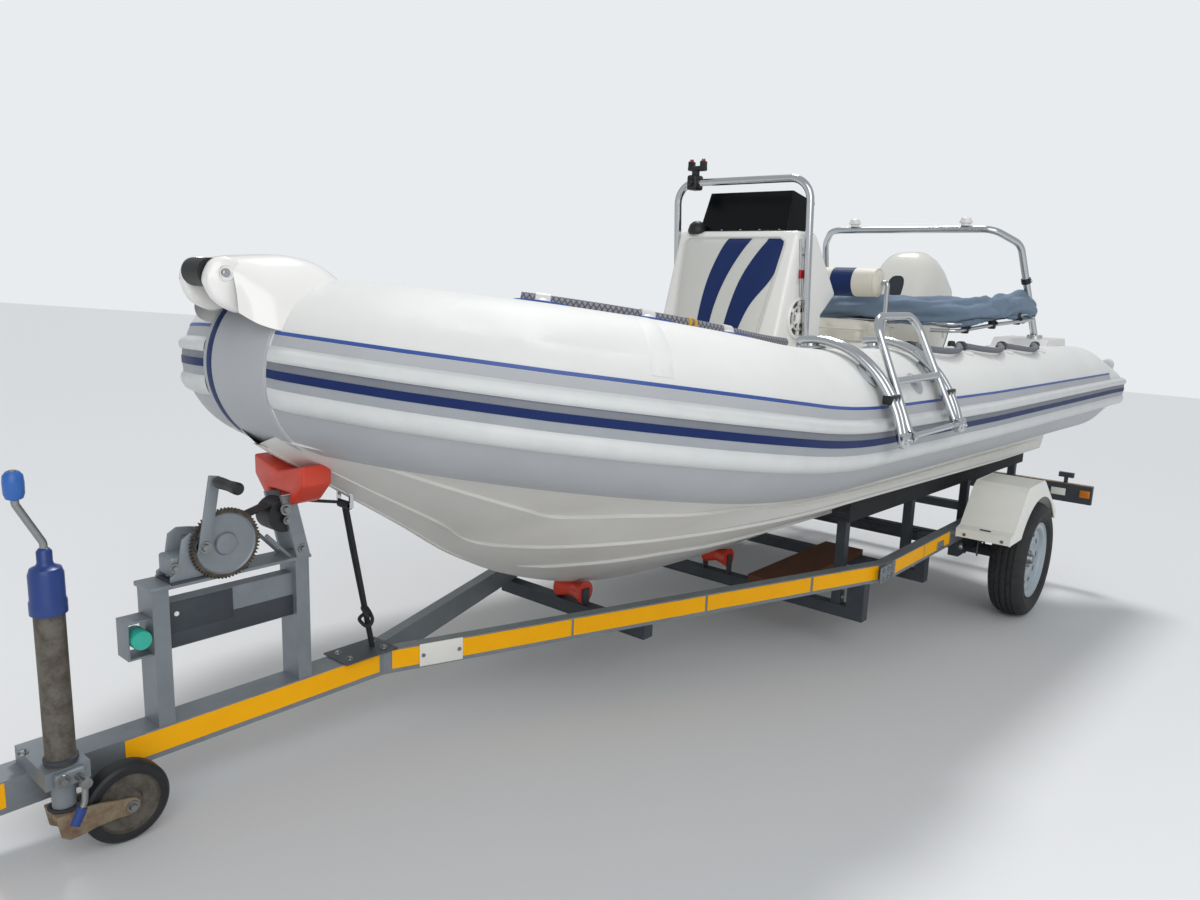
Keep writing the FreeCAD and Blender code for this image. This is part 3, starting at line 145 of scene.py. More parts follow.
BLACK_ROPE = Finish("black_cord", "#191A1C", "#2A2B2E", Grain.BRAID, 0.75, 0, 1, 0.0008, 1.0)
STRAP = Finish("strap", "#1D1E20", "#333437", Grain.WEBBING, 0.7, 0, 260, 0.0006, 0.8)
TIMBER = Finish("timber", "#7A4A28", "#4E2D18", Grain.WOOD, 0.7, 0, 9, 0.0008, 0.9)
CARPET = Finish("bunk_cover", "#33363A", "#232528", Grain.CANVAS, 0.9, 0, 300, 0.001, 0.6)
COWL = Finish("engine_white", "#EFEDE4", "#E4E1D6", Grain.SMOOTH, 0.24, 0, 5, 0.0001, 0.4, 0.5)
ENGINE = Finish("engine_dark", "#2B3038", "#20242A", Grain.SMOOTH, 0.35, 0.2, 30, 0.0001, 0.4, 0.3)
LAMP_RED = Finish("red_lens", "#A3121A", "#7E0D13", Grain.SMOOTH, 0.15, 0, 90, 0.0004, 0.4, 0.5)
LAMP_AMBER = Finish("amber_lens", "#D77A12", "#B5620A", Grain.SMOOTH, 0.15, 0, 90, 0.0004, 0.4, 0.5)
YELLOW_CORD = Finish("yellow_whipping", "#E0B52C", "#B08A18", Grain.BRAID, 0.7, 0, 1, 0.0008, 0.7)


def linear(text):
    """Turn a hex colour into linear RGBA.

    Args:
        text: colour such as "#AABBCC".

    Returns:
        Four floats for a shader socket.
    """
    parts = [int(text[i:i + 2], 16) / 255 for i in (1, 3, 5)]
    return [p / 12.92 if p <= 0.04045 else ((p + 0.055) / 1.055) ** 2.4 for p in parts] + [1.0]


class Shader:
    """Builds one finish as a node material."""

    made = {}

    def __init__(self, finish):
        """Start the finish's material."""
        self.finish = finish
        self.material = bpy.data.materials.new(finish.name)
        self.material.use_nodes = True
        self.tree = self.material.node_tree
        self.body = self.tree.nodes["Principled BSDF"]

    def node(self, kind, inputs=None, **settings):
        """Add one node, set its properties and link or set its inputs.

        Args:
            kind: node type's name.
            inputs: input name or index to a value, or to an output to link.
            settings: properties of the node.

        Returns:
            The new node.
        """
        made = self.tree.nodes.new(kind)
        for key, value in settings.items():
            setattr(made, key, value)
        for key, value in (inputs or {}).items():
            if isinstance(value, bpy.types.NodeSocket):
                self.tree.links.new(value, made.inputs[key])
            else:
                made.inputs[key].default_value = value
        return made

    def place(self, stretch=(1, 1, 1)):
        """Object coordinates, stretched along the axes."""
        where = self.node("ShaderNodeTexCoord").outputs["Object"]
        return self.node("ShaderNodeMapping", {"Vector": where, "Scale": stretch}).outputs["Vector"]

    def cloud(self, where, scale, detail=3.0, rough=0.5):
        """Noise factor."""
        inputs = {"Vector": where, "Scale": scale, "Detail": detail, "Roughness": rough}
        return self.node("ShaderNodeTexNoise", inputs).outputs["Fac"]

    def wave(self, where, scale, direction="X", distortion=0.0, bands="BANDS"):
        """Wave factor."""
        inputs = {"Vector": where, "Scale": scale, "Distortion": distortion, "Detail": 2.0}
        return self.node("ShaderNodeTexWave", inputs, wave_type=bands, bands_direction=direction).outputs["Fac"]

    def ramp(self, factor, low, high):
        """Factor stretched from between two values to 0 and 1."""
        return self.node("ShaderNodeMapRange", {0: factor, 1: low, 2: high}).outputs[0]

    def maths(self, operation, first, second):
        """One arithmetic step."""
        return self.node("ShaderNodeMath", {0: first, 1: second}, operation=operation).outputs[0]

    def pattern(self):
        """Colour factor and bump height of the finish's grain."""
        f = self.finish
        where = self.place()
        fine = self.cloud(where, f.scale, 4)
        broad = self.cloud(where, 3.0, 4, 0.6)
        if f.grain is Grain.SMOOTH:
            return self.ramp(broad, 0.35, 0.7), fine
        if f.grain in (Grain.FABRIC, Grain.CANVAS, Grain.WEBBING):
            threads = self.maths("MULTIPLY", self.wave(self.place((1, 0.6, 0.4)), f.scale),
                                 self.wave(self.place((0.4, 0.6, 1)), f.scale, "Z"))
            mixed = self.maths("MULTIPLY_ADD", threads, 0.3)
            stains = self.ramp(broad, 0.3, 0.75)
            return self.maths("MULTIPLY", self.maths("ADD", mixed, 0.5), stains), threads
        if f.grain is Grain.VINYL:
            cells = self.node("ShaderNodeTexVoronoi", {"Vector": where, "Scale": f.scale},
                              feature="DISTANCE_TO_EDGE").outputs["Distance"]
            return self.ramp(broad, 0.3, 0.75), self.ramp(cells, 0.0, 0.2)
        if f.grain is Grain.BRAID:
            along = self.node("ShaderNodeUVMap").outputs["UV"]
            first = self.wave(self.node("ShaderNodeMapping", {"Vector": along, "Rotation": (0, 0, 0.78)}).outputs[0],
                              1.8)
            second = self.wave(self.node("ShaderNodeMapping",
                                         {"Vector": along, "Rotation": (0, 0, -0.78)}).outputs[0], 1.8)
            strands = self.maths("MAXIMUM", first, second)
            fibre = self.cloud(where, 600, 2)
            return self.ramp(self.maths("SUBTRACT", strands, self.maths("MULTIPLY", fibre, 0.2)), 0.6, 0.85), strands
        if f.grain is Grain.ZINC:
            spangle = self.node("ShaderNodeTexVoronoi", {"Vector": where, "Scale": f.scale}).outputs["Color"]
            stains = self.ramp(self.cloud(where, 7, 5, 0.65), 0.35, 0.7)
            return self.maths("ADD", self.maths("MULTIPLY", spangle, 0.4), self.maths("MULTIPLY", stains, 0.6)), fine
        if f.grain is Grain.STEEL:
            return self.cloud(self.place((8, 1, 8)), f.scale, 4), self.cloud(self.place((20, 2, 20)), f.scale, 2)
        if f.grain is Grain.RUST:
            patches = self.ramp(self.cloud(where, f.scale, 6, 0.7), 0.42, 0.62)
            return patches, self.cloud(where, f.scale * 4, 4, 0.7)
        if f.grain is Grain.WOOD:
            rings = self.wave(self.place((0.25, 3, 3)), f.scale, "Y", 5.0)
            streaks = self.cloud(self.place((2, 30, 30)), 3, 5, 0.6)
            return self.maths("MULTIPLY_ADD", rings, streaks), streaks
        return self.ramp(self.cloud(where, 12, 4, 0.6), 0.35, 0.7), fine

    def build(self):
        """Wire the finish up.

        Returns:
            The material.
        """
        f = self.finish
        factor, height = self.pattern()
        share = self.node("ShaderNodeMath", {0: factor, 1: f.blend}, operation="MULTIPLY", use_clamp=True).outputs[0]
        mix = self.node("ShaderNodeMix", {"Factor": share, 6: linear(f.colour), 7: linear(f.second)},
                        data_type="RGBA")
        dull = self.maths("MULTIPLY_ADD", self.cloud(self.place(), 9, 4, 0.6), 0.16)
        dull.node.inputs[2].default_value = f.rough - 0.08
        bump = self.node("ShaderNodeBump", {"Height": height, "Strength": 1.0, "Distance": f.bump})
        self.tree.links.new(mix.outputs[2], self.body.inputs["Base Color"])
        self.tree.links.new(dull, self.body.inputs["Roughness"])
        self.tree.links.new(bump.outputs["Normal"], self.body.inputs["Normal"])
        self.body.inputs["Metallic"].default_value = f.metal
        self.body.inputs["Coat Weight"].default_value = f.coat
        self.body.inputs["Coat Roughness"].default_value = 0.08
        self.body.inputs["Specular IOR Level"].default_value = f.shine
        return self.material

    @classmethod
    def of(cls, finish):
        """Material of a finish, made once."""
        if finish.name not in cls.made:
            cls.made[finish.name] = cls(finish).build()
        return cls.made[finish.name]


def rounded(points, bend, step=math.radians(9)):
    """Route with an arc at each inner corner.

    Args:
        points: corners of the route.
        bend: largest bend radius.
        step: turn between the arc's points.

    Returns:
        List of points.
    """
    points = [Vector(p) for p in points]
    route = [points[0]]
    for before, corner, after in zip(points, points[1:], points[2:]):
        back, ahead = before - corner, after - corner
        turn = math.pi - back.angle(ahead)
        if turn < 0.01:
            route.append(corner)
            continue
        reach = min(bend * math.tan(turn / 2), 0.45 * back.length, 0.45 * ahead.length)
        size = reach / math.tan(turn / 2)
        back.normalize()
        ahead.normalize()
        inward = (back + ahead).normalized()
        centre = corner + inward * math.hypot(size, reach)
        start = corner + back * reach - centre
        axis = start.cross(corner + ahead * reach - centre).normalized()
        count = max(2, math.ceil(turn / step))
        route += [centre + Matrix.Rotation(turn * k / count, 3, axis) @ start for k in range(count + 1)]
    return route + [points[-1]]


class Form:
    """Mesh being built, in the trailer's level frame or another that a matrix places."""

    def __init__(self, place=PARK):
        """Start an empty mesh that a matrix places."""
        self.mesh = bmesh.new()
        self.uv = self.mesh.loops.layers.uv.new("UVMap")
        self.place = place
        self.finishes = []

    def use(self, finish):
        """Number of a finish among this form's materials."""
        if finish not in self.finishes:
            self.finishes.append(finish)
        return self.finishes.index(finish)

    def _paint(self, faces, finish):
        """Give faces a finish and smooth them."""
        number = self.use(finish)
        for face in faces:
            face.material_index = number
            face.smooth = True

    def grid(self, rows, finish, closed=False, caps=False, turned=False):
        """Skin of rows of points.

        Args:
            rows: lists of points, all as long.
            finish: one finish, or a list with one for each strip between the points of a row.
            closed: whether each row is a ring.
            caps: whether the first and last rings are closed with faces.
            turned: whether the faces' order is reversed.
        """
        made = [[self.mesh.verts.new(Vector(p)) for p in row] for row in rows]
        count = len(made[0])
        strips = count if closed else count - 1
        for r, (low, high) in enumerate(zip(made, made[1:])):
            for c in range(strips):
                d = (c + 1) % count
                corners = [low[c], low[d], high[d], high[c]]
                if turned:
                    corners.reverse()
                face = self.mesh.faces.new(corners)
                self._paint([face], finish[c] if isinstance(finish, (list, tuple)) else finish)
                for loop in face.loops:
                    u = c if loop.vert in (low[c], high[c]) else c + 1
                    v = r if loop.vert in (low[c], low[d]) else r + 1
                    loop[self.uv].uv = (u / strips, v)
        if caps:
            last = finish[0] if isinstance(finish, (list, tuple)) else finish
            for ring in (made[0], made[-1]):
                self._paint([self.mesh.faces.new(ring)], last)
        return made

    def bevelled(self, faces, finish, bevel, segments):
        """Paint new faces and round their edges."""
        self._paint(faces, finish)
        if bevel:
            edges = dict.fromkeys(edge for face in faces for edge in face.edges)
            result = bmesh.ops.bevel(self.mesh, geom=list(edges), offset=bevel, segments=segments,
                                     affect="EDGES", profile=0.5, clamp_overlap=True)
            self._paint(result["faces"], finish)

    def box(self, low, high, finish, bevel=0.003, segments=2, turn=None):
        """Block with rounded edges.

        Args:
            low: lowest corner.
            high: highest corner.
            finish: finish of every face.
            bevel: edge radius.
            segments: bevel segments.
            turn: matrix that moves the block.
        """
        corners = [Vector((x, y, z)) for x in (low[0], high[0]) for y in (low[1], high[1]) for z in (low[2], high[2])]
        if turn is not None:
            corners = [turn @ corner for corner in corners]
        v = [self.mesh.verts.new(corner) for corner in corners]
        sides = ((0, 1, 3, 2), (4, 6, 7, 5), (0, 4, 5, 1), (2, 3, 7, 6), (0, 2, 6, 4), (1, 5, 7, 3))
        self.bevelled([self.mesh.faces.new([v[i] for i in side]) for side in sides], finish, bevel, segments)

    def prism(self, outline, low, high, finish, bevel=0.003, segments=2, axis="Y", turn=None):
        """Side outline given a thickness along an axis."""
        order = {"Y": lambda a, b, t: (a, t, b), "X": lambda a, b, t: (t, a, b), "Z": lambda a, b, t: (a, b, t)}[axis]
        rings = []
        for depth in (low, high):
            points = [Vector(order(a, b, depth)) for a, b in outline]
            if turn is not None:
                points = [turn @ point for point in points]
            rings.append([self.mesh.verts.new(point) for point in points])
        count = len(outline)
        faces = [self.mesh.faces.new(ring) for ring in rings]
        for i in range(count):
            j = (i + 1) % count
            faces.append(self.mesh.faces.new([rings[0][i], rings[0][j], rings[1][j], rings[1][i]]))
        bmesh.ops.recalc_face_normals(self.mesh, faces=faces)
        self.bevelled(faces, finish, bevel, segments)

    def lathe(self, profile, centre, axis, finish, steps=40):
        """Profile of (radius, along) turned about an axis; a radius of 0 closes it."""
        axis = Vector(axis).normalized()
        side = axis.orthogonal().normalized()
        other = axis.cross(side)
        centre = Vector(centre)
        rings = []
        for k in range(steps):
            turn = 2 * math.pi * k / steps
            out = side * math.cos(turn) + other * math.sin(turn)
            rings.append([centre + axis * along + out * max(radius, 1e-5) for radius, along in profile])
        rows = [[rings[k][i] for k in range(steps)] for i in range(len(profile))]
        if isinstance(finish, (list, tuple)):
            for low, high, strip in zip(rows, rows[1:], finish):
                self.grid([low, high], strip, closed=True)
        else:
            self.grid(rows, finish, closed=True)

    def tube(self, points, radius, finish, sides=14, bend=0.05, caps=True, lengthwise=None):
        """Round tube along a rounded route.

        Args:
            points: corners of the route.
            radius: a number, or a function of the share of the length.
            finish: its finish.
            sides: points round it.
            bend: largest bend radius.
            caps: whether its ends are closed.
            lengthwise: pattern repeats along a metre for the UV map.
        """
        route = rounded(points, bend)
        self.sweep(route, radius, finish, sides, caps, lengthwise)

    def sweep(self, route, radius, finish, sides=14, caps=True, lengthwise=None):
        """Round tube along exact points."""
        route = [Vector(p) for p in route]
        lengths = [0.0]
        for a, b in zip(route, route[1:]):
            lengths.append(lengths[-1] + (b - a).length)
        total = lengths[-1]
        normal = (route[1] - route[0]).orthogonal().normalized()
        rows = []
        for i, point in enumerate(route):
            along = (route[min(i + 1, len(route) - 1)] - route[max(i - 1, 0)]).normalized()
            normal = (normal - along * normal.dot(along)).normalized()
            other = along.cross(normal)
            size = radius(lengths[i] / total) if callable(radius) else radius
            rows.append([point + (normal * math.cos(t) + other * math.sin(t)) * size
                         for t in (2 * math.pi * k / sides for k in range(sides))])
        made = self.grid(rows, finish, closed=True, caps=caps)
        if lengthwise:
            for r, (low, high) in enumerate(zip(made, made[1:])):
                heights = {v: lengths[r] * lengthwise for v in low} | {v: lengths[r + 1] * lengthwise for v in high}
                for face in {f for v in low for f in v.link_faces if all(w in heights for w in f.verts)}:
                    for loop in face.loops:
                        loop[self.uv].uv.y = heights[loop.vert]

    def bolt(self, centre, axis, finish=DULL_STEEL, size=0.009):
        """Hexagon bolt head with its washer."""
        self.lathe([(0, 0.0025), (size * 1.5, 0.0025), (size * 1.6, 0)], centre, axis, finish, 20)
        self.lathe([(0, size * 1.1), (size * 0.85, size * 1.1), (size, size * 0.8), (size, 0.002)], centre, axis,
                   finish, 6)

    def mirror(self):
        """Add the starboard copy of everything so far."""
        geometry = self.mesh.verts[:] + self.mesh.edges[:] + self.mesh.faces[:]
        copied = bmesh.ops.duplicate(self.mesh, geom=geometry)["geom"]
        verts = [g for g in copied if isinstance(g, bmesh.types.BMVert)]
        faces = [g for g in copied if isinstance(g, bmesh.types.BMFace)]
        for vert in verts:
            vert.co.y = -vert.co.y
        bmesh.ops.reverse_faces(self.mesh, faces=faces)

    def finish(self, name, *replaced, body=ROOT, slot=None, sharp=38, weld=False):
        """Place the mesh and make its object.

        Args:
            name: the piece's name.
            replaced: CAD nodes that the piece stands for.
            body: CAD body it rides on.
            slot: not used.
            sharp: edges sharper than this many degrees stay crisp.
            weld: whether points that coincide are merged.

        Returns:
            The object.
        """
        if weld:
            bmesh.ops.remove_doubles(self.mesh, verts=self.mesh.verts, dist=0.00005)
        bmesh.ops.transform(self.mesh, matrix=self.place, verts=self.mesh.verts)
        bmesh.ops.recalc_face_normals(self.mesh, faces=self.mesh.faces)
        data = bpy.data.meshes.new(name)
        self.mesh.to_mesh(data)
        self.mesh.free()
        data.set_sharp_from_angle(angle=math.radians(sharp))
        for finish in self.finishes:
            data.materials.append(Shader.of(finish))
        piece = bpy.data.objects.new(name, data)
        bpy.context.scene.collection.objects.link(piece)
        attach(piece, body)
        if replaced:
            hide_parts(*replaced)
        LOG.info("%s has %d faces", name, len(data.polygons))
        return piece


@dataclass(frozen=True)
class TubeLine:
    """Centre line of the inflated collar, measured from the start of the bow bend.

    Attributes:
        radius: radius of the collar.
        side: half width between the centre lines, also the bow's radius.
        side_slope: rise of the straight run.
        bow_slope: rise of the bow's plane.
        sheer: radius of the bend between them.
        start: where the bow bend starts.
        height: height of the centre line over the axle.
        cone: where the stern cone starts.
    """

    radius: float = 0.230
    side: float = 0.850
    side_slope: float = math.radians(1.66)
    bow_slope: float = math.radians(8.5)
    sheer: float = 4.0
    start: float = 2.540
    height: float = 1.106
    cone: float = -0.950

    def frame(self, along):
        """Centre, outward and upward directions; along is below 0 aft of the bow bend."""
        up = Vector((-math.sin(self.bow_slope), 0, math.cos(self.bow_slope)))
        run = self.start - self.sheer * (math.sin(self.bow_slope) - math.sin(self.side_slope))
        rise = self.sheer * (math.cos(self.side_slope) - math.cos(self.bow_slope))
        corner = Vector((run, self.side, self.height + run * math.tan(self.side_slope)))
        bow = Vector((self.start, self.side, corner.z + rise))
        if along >= 0:
            turn = along / self.side
            fore = Vector((math.cos(self.bow_slope), 0, math.sin(self.bow_slope)))
            out = Vector((0, 1, 0)) * math.cos(turn) + fore * math.sin(turn)
            return Vector((bow.x, 0, bow.z)) + out * self.side, out, up
        bend = self.sheer * (self.bow_slope - self.side_slope)
        if along >= -bend:
            slope = self.bow_slope + along / self.sheer
            tilt = Vector((-math.sin(slope), 0, math.cos(slope)))
            return bow + up * self.sheer - tilt * self.sheer, Vector((0, 1, 0)), tilt
        back = -along - bend
        straight = Vector((math.cos(self.side_slope), 0, math.sin(self.side_slope)))
        tilt = Vector((-straight.z, 0, straight.x))
        return corner - straight * back, Vector((0, 1, 0)), tilt

    def at(self, ahead):
        """Distance along the line of a station on the straight run."""
        run = self.start - self.sheer * (math.sin(self.bow_slope) - math.sin(self.side_slope))
        if ahead > run:
            slope = math.asin(math.sin(self.bow_slope) - (self.start - ahead) / self.sheer)
            return (slope - self.bow_slope) * self.sheer
        return -self.sheer * (self.bow_slope - self.side_slope) - (run - ahead) / math.cos(self.side_slope)

    def skin(self, along, angle, lift=0.0):
        """Point over the skin: the angle in degrees goes up from the outer side."""
        centre, out, up = self.frame(along)
        turn = math.radians(angle)
        return centre + (out * math.cos(turn) + up * math.sin(turn)) * (self.radius + lift)

    def stations(self, first, last):
        """Distances between two ends, closer together round the bow."""
        stops = [first]
        while stops[-1] < last - 1e-6:
            step = 0.03 if stops[-1] >= -0.5 else 0.12
            stops.append(min(stops[-1] + step, last))
        return stops


LINE = TubeLine()
NOSE = LINE.side * math.pi / 2
STERN = LINE.at(LINE.cone)
CONE_LENGTH = 0.320
CONE_SMALL = 0.115


@dataclass(frozen=True)
class Collar:
    """Inflated tubes with their strakes, stripes, seams and pads.

    Attributes:
        seam_width: width of a glued seam band.
        seam_lift: its thickness.
        narrow: share of the section's angles that a strip takes up.
        height_units: what turns the section's heights into metres.
        shifts: distance along the tube to the degrees that a strip is turned there.
    """

    narrow: float = 0.8
    height_units: float = 1300
    seam_width: float = 0.045
    seam_lift: float = 0.0012
    shifts: tuple = ((-3.6, -1.0), (-1.5, -6.5), (-0.4, -6.5), (0.645, -8.5), (0.92, -8.0), (1.34, -6.0))

    def strip(self, along, angle, lift):
        """Point of a strip that sinks a little towards the bow."""
        for (first, low), (last, high) in zip(self.shifts, self.shifts[1:]):
            if along <= last:
                share = max(0.0, (along - first) / (last - first))
                return LINE.skin(along, low + (high - low) * share + self.narrow * angle, lift)
        return LINE.skin(along, self.shifts[-1][1] + self.narrow * angle, lift)

    def build(self):
        """Make every piece of the collar."""
        self.skin()
        self.strakes()
        self.stripes()
        self.nose_band()
        self.pads()

    def skin(self):
        """Fabric skin from stern to stern, with glued seam bands."""
        form = Form()
        rows = []
        count = 64
        angles = [360 * k / count for k in range(count)]
        centre, out, up = LINE.frame(STERN)
        back = (LINE.frame(STERN)[0] - LINE.frame(STERN - 0.1)[0]).normalized()
        for share in (1.0, 0.85, 0.7, 0.5, 0.3, 0.1):
            size = LINE.radius + (CONE_SMALL - LINE.radius) * share
            middle = centre - back * (CONE_LENGTH * share) + out * ((LINE.radius - CONE_SMALL) * share)
            rows.append([middle + (out * math.cos(math.radians(a)) + up * math.sin(math.radians(a))) * size
                         for a in angles])
        port = rows + [[LINE.skin(s, a) for a in angles] for s in LINE.stations(STERN, NOSE)]
        other = [[Vector((p.x, -p.y, p.z)) for p in row] for row in reversed(port[:-1])]
        form.grid(port + other, TUBE, closed=True, caps=True)
        for station in (-0.62, -1.75, -2.9, 0.42):
            row = [[LINE.skin(station + d, a, lift) for a in range(22, 208, 5)]
                   for d, lift in ((0, 0), (0.002, self.seam_lift), (self.seam_width, self.seam_lift),
                                   (self.seam_width + 0.002, 0))]
            form.grid(row, TUBE)
            form.grid([[Vector((p.x, -p.y, p.z)) for p in line] for line in row], TUBE)
        form.finish("tube_skin", "tube_port", "tube_starboard", "tube_bow", slot="tube_skin")
        ends = Form()
        for side in (1, -1):
            middle = centre - back * CONE_LENGTH + out * (LINE.radius - CONE_SMALL)
            middle = Vector((middle.x, middle.y * side, middle.z))
            ends.lathe([(0, 0.006), (0.05, 0.005), (0.085, 0.001), (0.1, -0.004), (0.112, -0.01)], middle, -back,
                       TUBE_GREY, 40)
            fitting = Vector((middle.x + 0.04, side * 0.99, middle.z + 0.13))
            ends.lathe([(0, 0.03), (0.022, 0.028), (0.034, 0.018), (0.036, 0), (0.04, -0.03), (0, -0.03)], fitting,
                       (-1, 0, 0.25), STRAKE_LIGHT, 24)
        ends.finish("tube_ends", slot="tube_skin")

    def strakes(self):
        """Two ridges with the navy band in the recess between them, and painted shade on the strip over the navy band
        under the upper ridge.
        """
        section = (
            # angle, lift in millimetres, finish of the strip that starts here
            (-28.2, 0.0, STRAKE_LIGHT), (-27.2, 8, STRAKE_LIGHT), (-25.2, 16, STRAKE_LIGHT),
            (-22.4, 22, STRAKE_LIGHT), (-19, 25, STRAKE_LIGHT), (-15.6, 24, STRAKE_LIGHT),
            (-12.8, 19, STRAKE_LIGHT), (-11.2, 12, STRAKE_LIGHT), (-10.6, 8.5, STRAKE_GREY),
            # the strips from 3.2 to 8.9 degrees carry painted shade under the upper ridge
            (-3.4, 8.5, STRAKE_GREY), (-3.2, 10.5, NAVY), (3.2, 10.5, STRAKE_PAINTED_SHADE), (3.4, 8.5, STRAKE_PAINTED_SHADE),
            (8.2, 8.0, STRAKE_PAINTED_SHADE), (8.9, 12, STRAKE_LIGHT), (10, 18.5, STRAKE_LIGHT), (12, 22.5, STRAKE_LIGHT),
            (14.5, 23, STRAKE_LIGHT), (17, 18.5, STRAKE_LIGHT), (18.8, 11, STRAKE_LIGHT), (20, 4, STRAKE_LIGHT),
            (21.2, 0.2, STRAKE_LIGHT),
        )
        form = Form()
        last = NOSE - math.radians(8.2) * LINE.side
        rows = []
        for s in [STERN - CONE_LENGTH] + LINE.stations(STERN, last):
            fade = min(1.0, max(0.0, (last - s) / 0.05)) ** 0.5
            rows.append([self.strip(s, angle, lift / self.height_units * (0.25 + 0.75 * fade)) for angle, lift,
                         _ in section])
        finishes = [finish for _, _, finish in section[:-1]]
        form.grid(rows, finishes)
        form.mesh.faces.new(form.mesh.verts[:len(section)])
        form.mirror()
        form.finish("rub_strake", "rub_strakes", slot="strake", sharp=50)

    def stripes(self):
        """Grey panel and thin blue line above the strake, and painted shade as a grey sheet over the tube's
        underside.
        """
        form = Form()
        last = NOSE - math.radians(8.4) * LINE.side
        stops = LINE.stations(STERN, last)
        form.grid([[self.strip(s, a, 0.0007) for a in (20.8, 23, 26, 29.2)] for s in stops], TUBE_GREY)
        form.grid([[self.strip(s, a, lift) for a, lift in ((29.6, 0), (29.8, 0.0016), (32.4, 0.0016), (32.6, 0))]
                   for s in stops], BLUE)
        # grey sheet from the strake down round the underside: painted shade, not a panel of the fabric
        form.grid([[self.strip(s, a, 0.0007) for a in (-28.2, -34, -42, -50, -58, -66, -74, -82)] for s in stops],
                  TUBE_GREY)
        form.mirror()
        form.finish("tube_stripes", slot="tube_skin")

    def nose_band(self):
        """Light grey band over the nose with a navy edge on its far side."""
        form = Form()
        across = [(-8.0, 0, TUBE_GREY)] + [(-7.8 + 1.55 * k, 4.7, TUBE_GREY) for k in range(9)] + [
            (4.8, 5.5, NAVY), (5.7, 5.5, NAVY), (6.6, 5.5, TUBE_GREY), (6.8, 4.8, TUBE_GREY), (7.8, 4.7, TUBE_GREY),
            (8.0, 0, TUBE_GREY)]
        rows = []
        for angle in [-104 + 4 * k for k in range(44)]:
            rows.append([LINE.skin(NOSE + math.radians(d) * LINE.side, angle, lift / 1000) for d, lift, _ in across])
        form.grid(rows, [finish for _, _, finish in across[:-1]])
        form.finish("bow_band", "nose_band", slot="strake")

    def oval(self, form, station, angle, length, width, lift=0.0016, rim=0.006, edge=BLUE):
        """White oval patch with a rim, laid on the skin."""
        rings = []
        for size in (0.0, 0.5, 1.0, 1.001, 1.0 + rim / width, 1.0 + 1.6 * rim / width):
            ring = []
            for k in range(40):
                turn = 2 * math.pi * k / 40
                dx, dy = math.cos(turn) * length / 2, math.sin(turn) * width / 2
                norm = size if size <= 1 else 1
                extra = (size - 1) * width / 2 if size > 1 else 0
                along = dx * norm + math.cos(turn) * extra
                over = dy * norm + math.sin(turn) * extra
                rise = lift if size < 1.03 else 0
                ring.append(LINE.skin(station + along, angle + math.degrees(over / LINE.radius),
                                      rise + 0.0004 * (size > 1)))
            rings.append(ring)
        form.grid(rings[:3], TUBE, closed=True)
        form.grid(rings[3:5], edge, closed=True)
        form.grid(rings[4:], edge, closed=True)

    def pads(self):
        """Patches under the lines."""
        form = Form()
        for degrees in (6, 26, 46):
            self.oval(form, math.radians(degrees) * LINE.side, 104, 0.17, 0.12, 0.005)
        for ahead in (1.560, 1.029, 0.505, -0.022):
            self.oval(form, LINE.at(ahead), 78, 0.11, 0.11, 0.005, 0.004, TUBE)
        form.mirror()
        form.finish("line_pads", "tube_pads", slot="tube_skin")


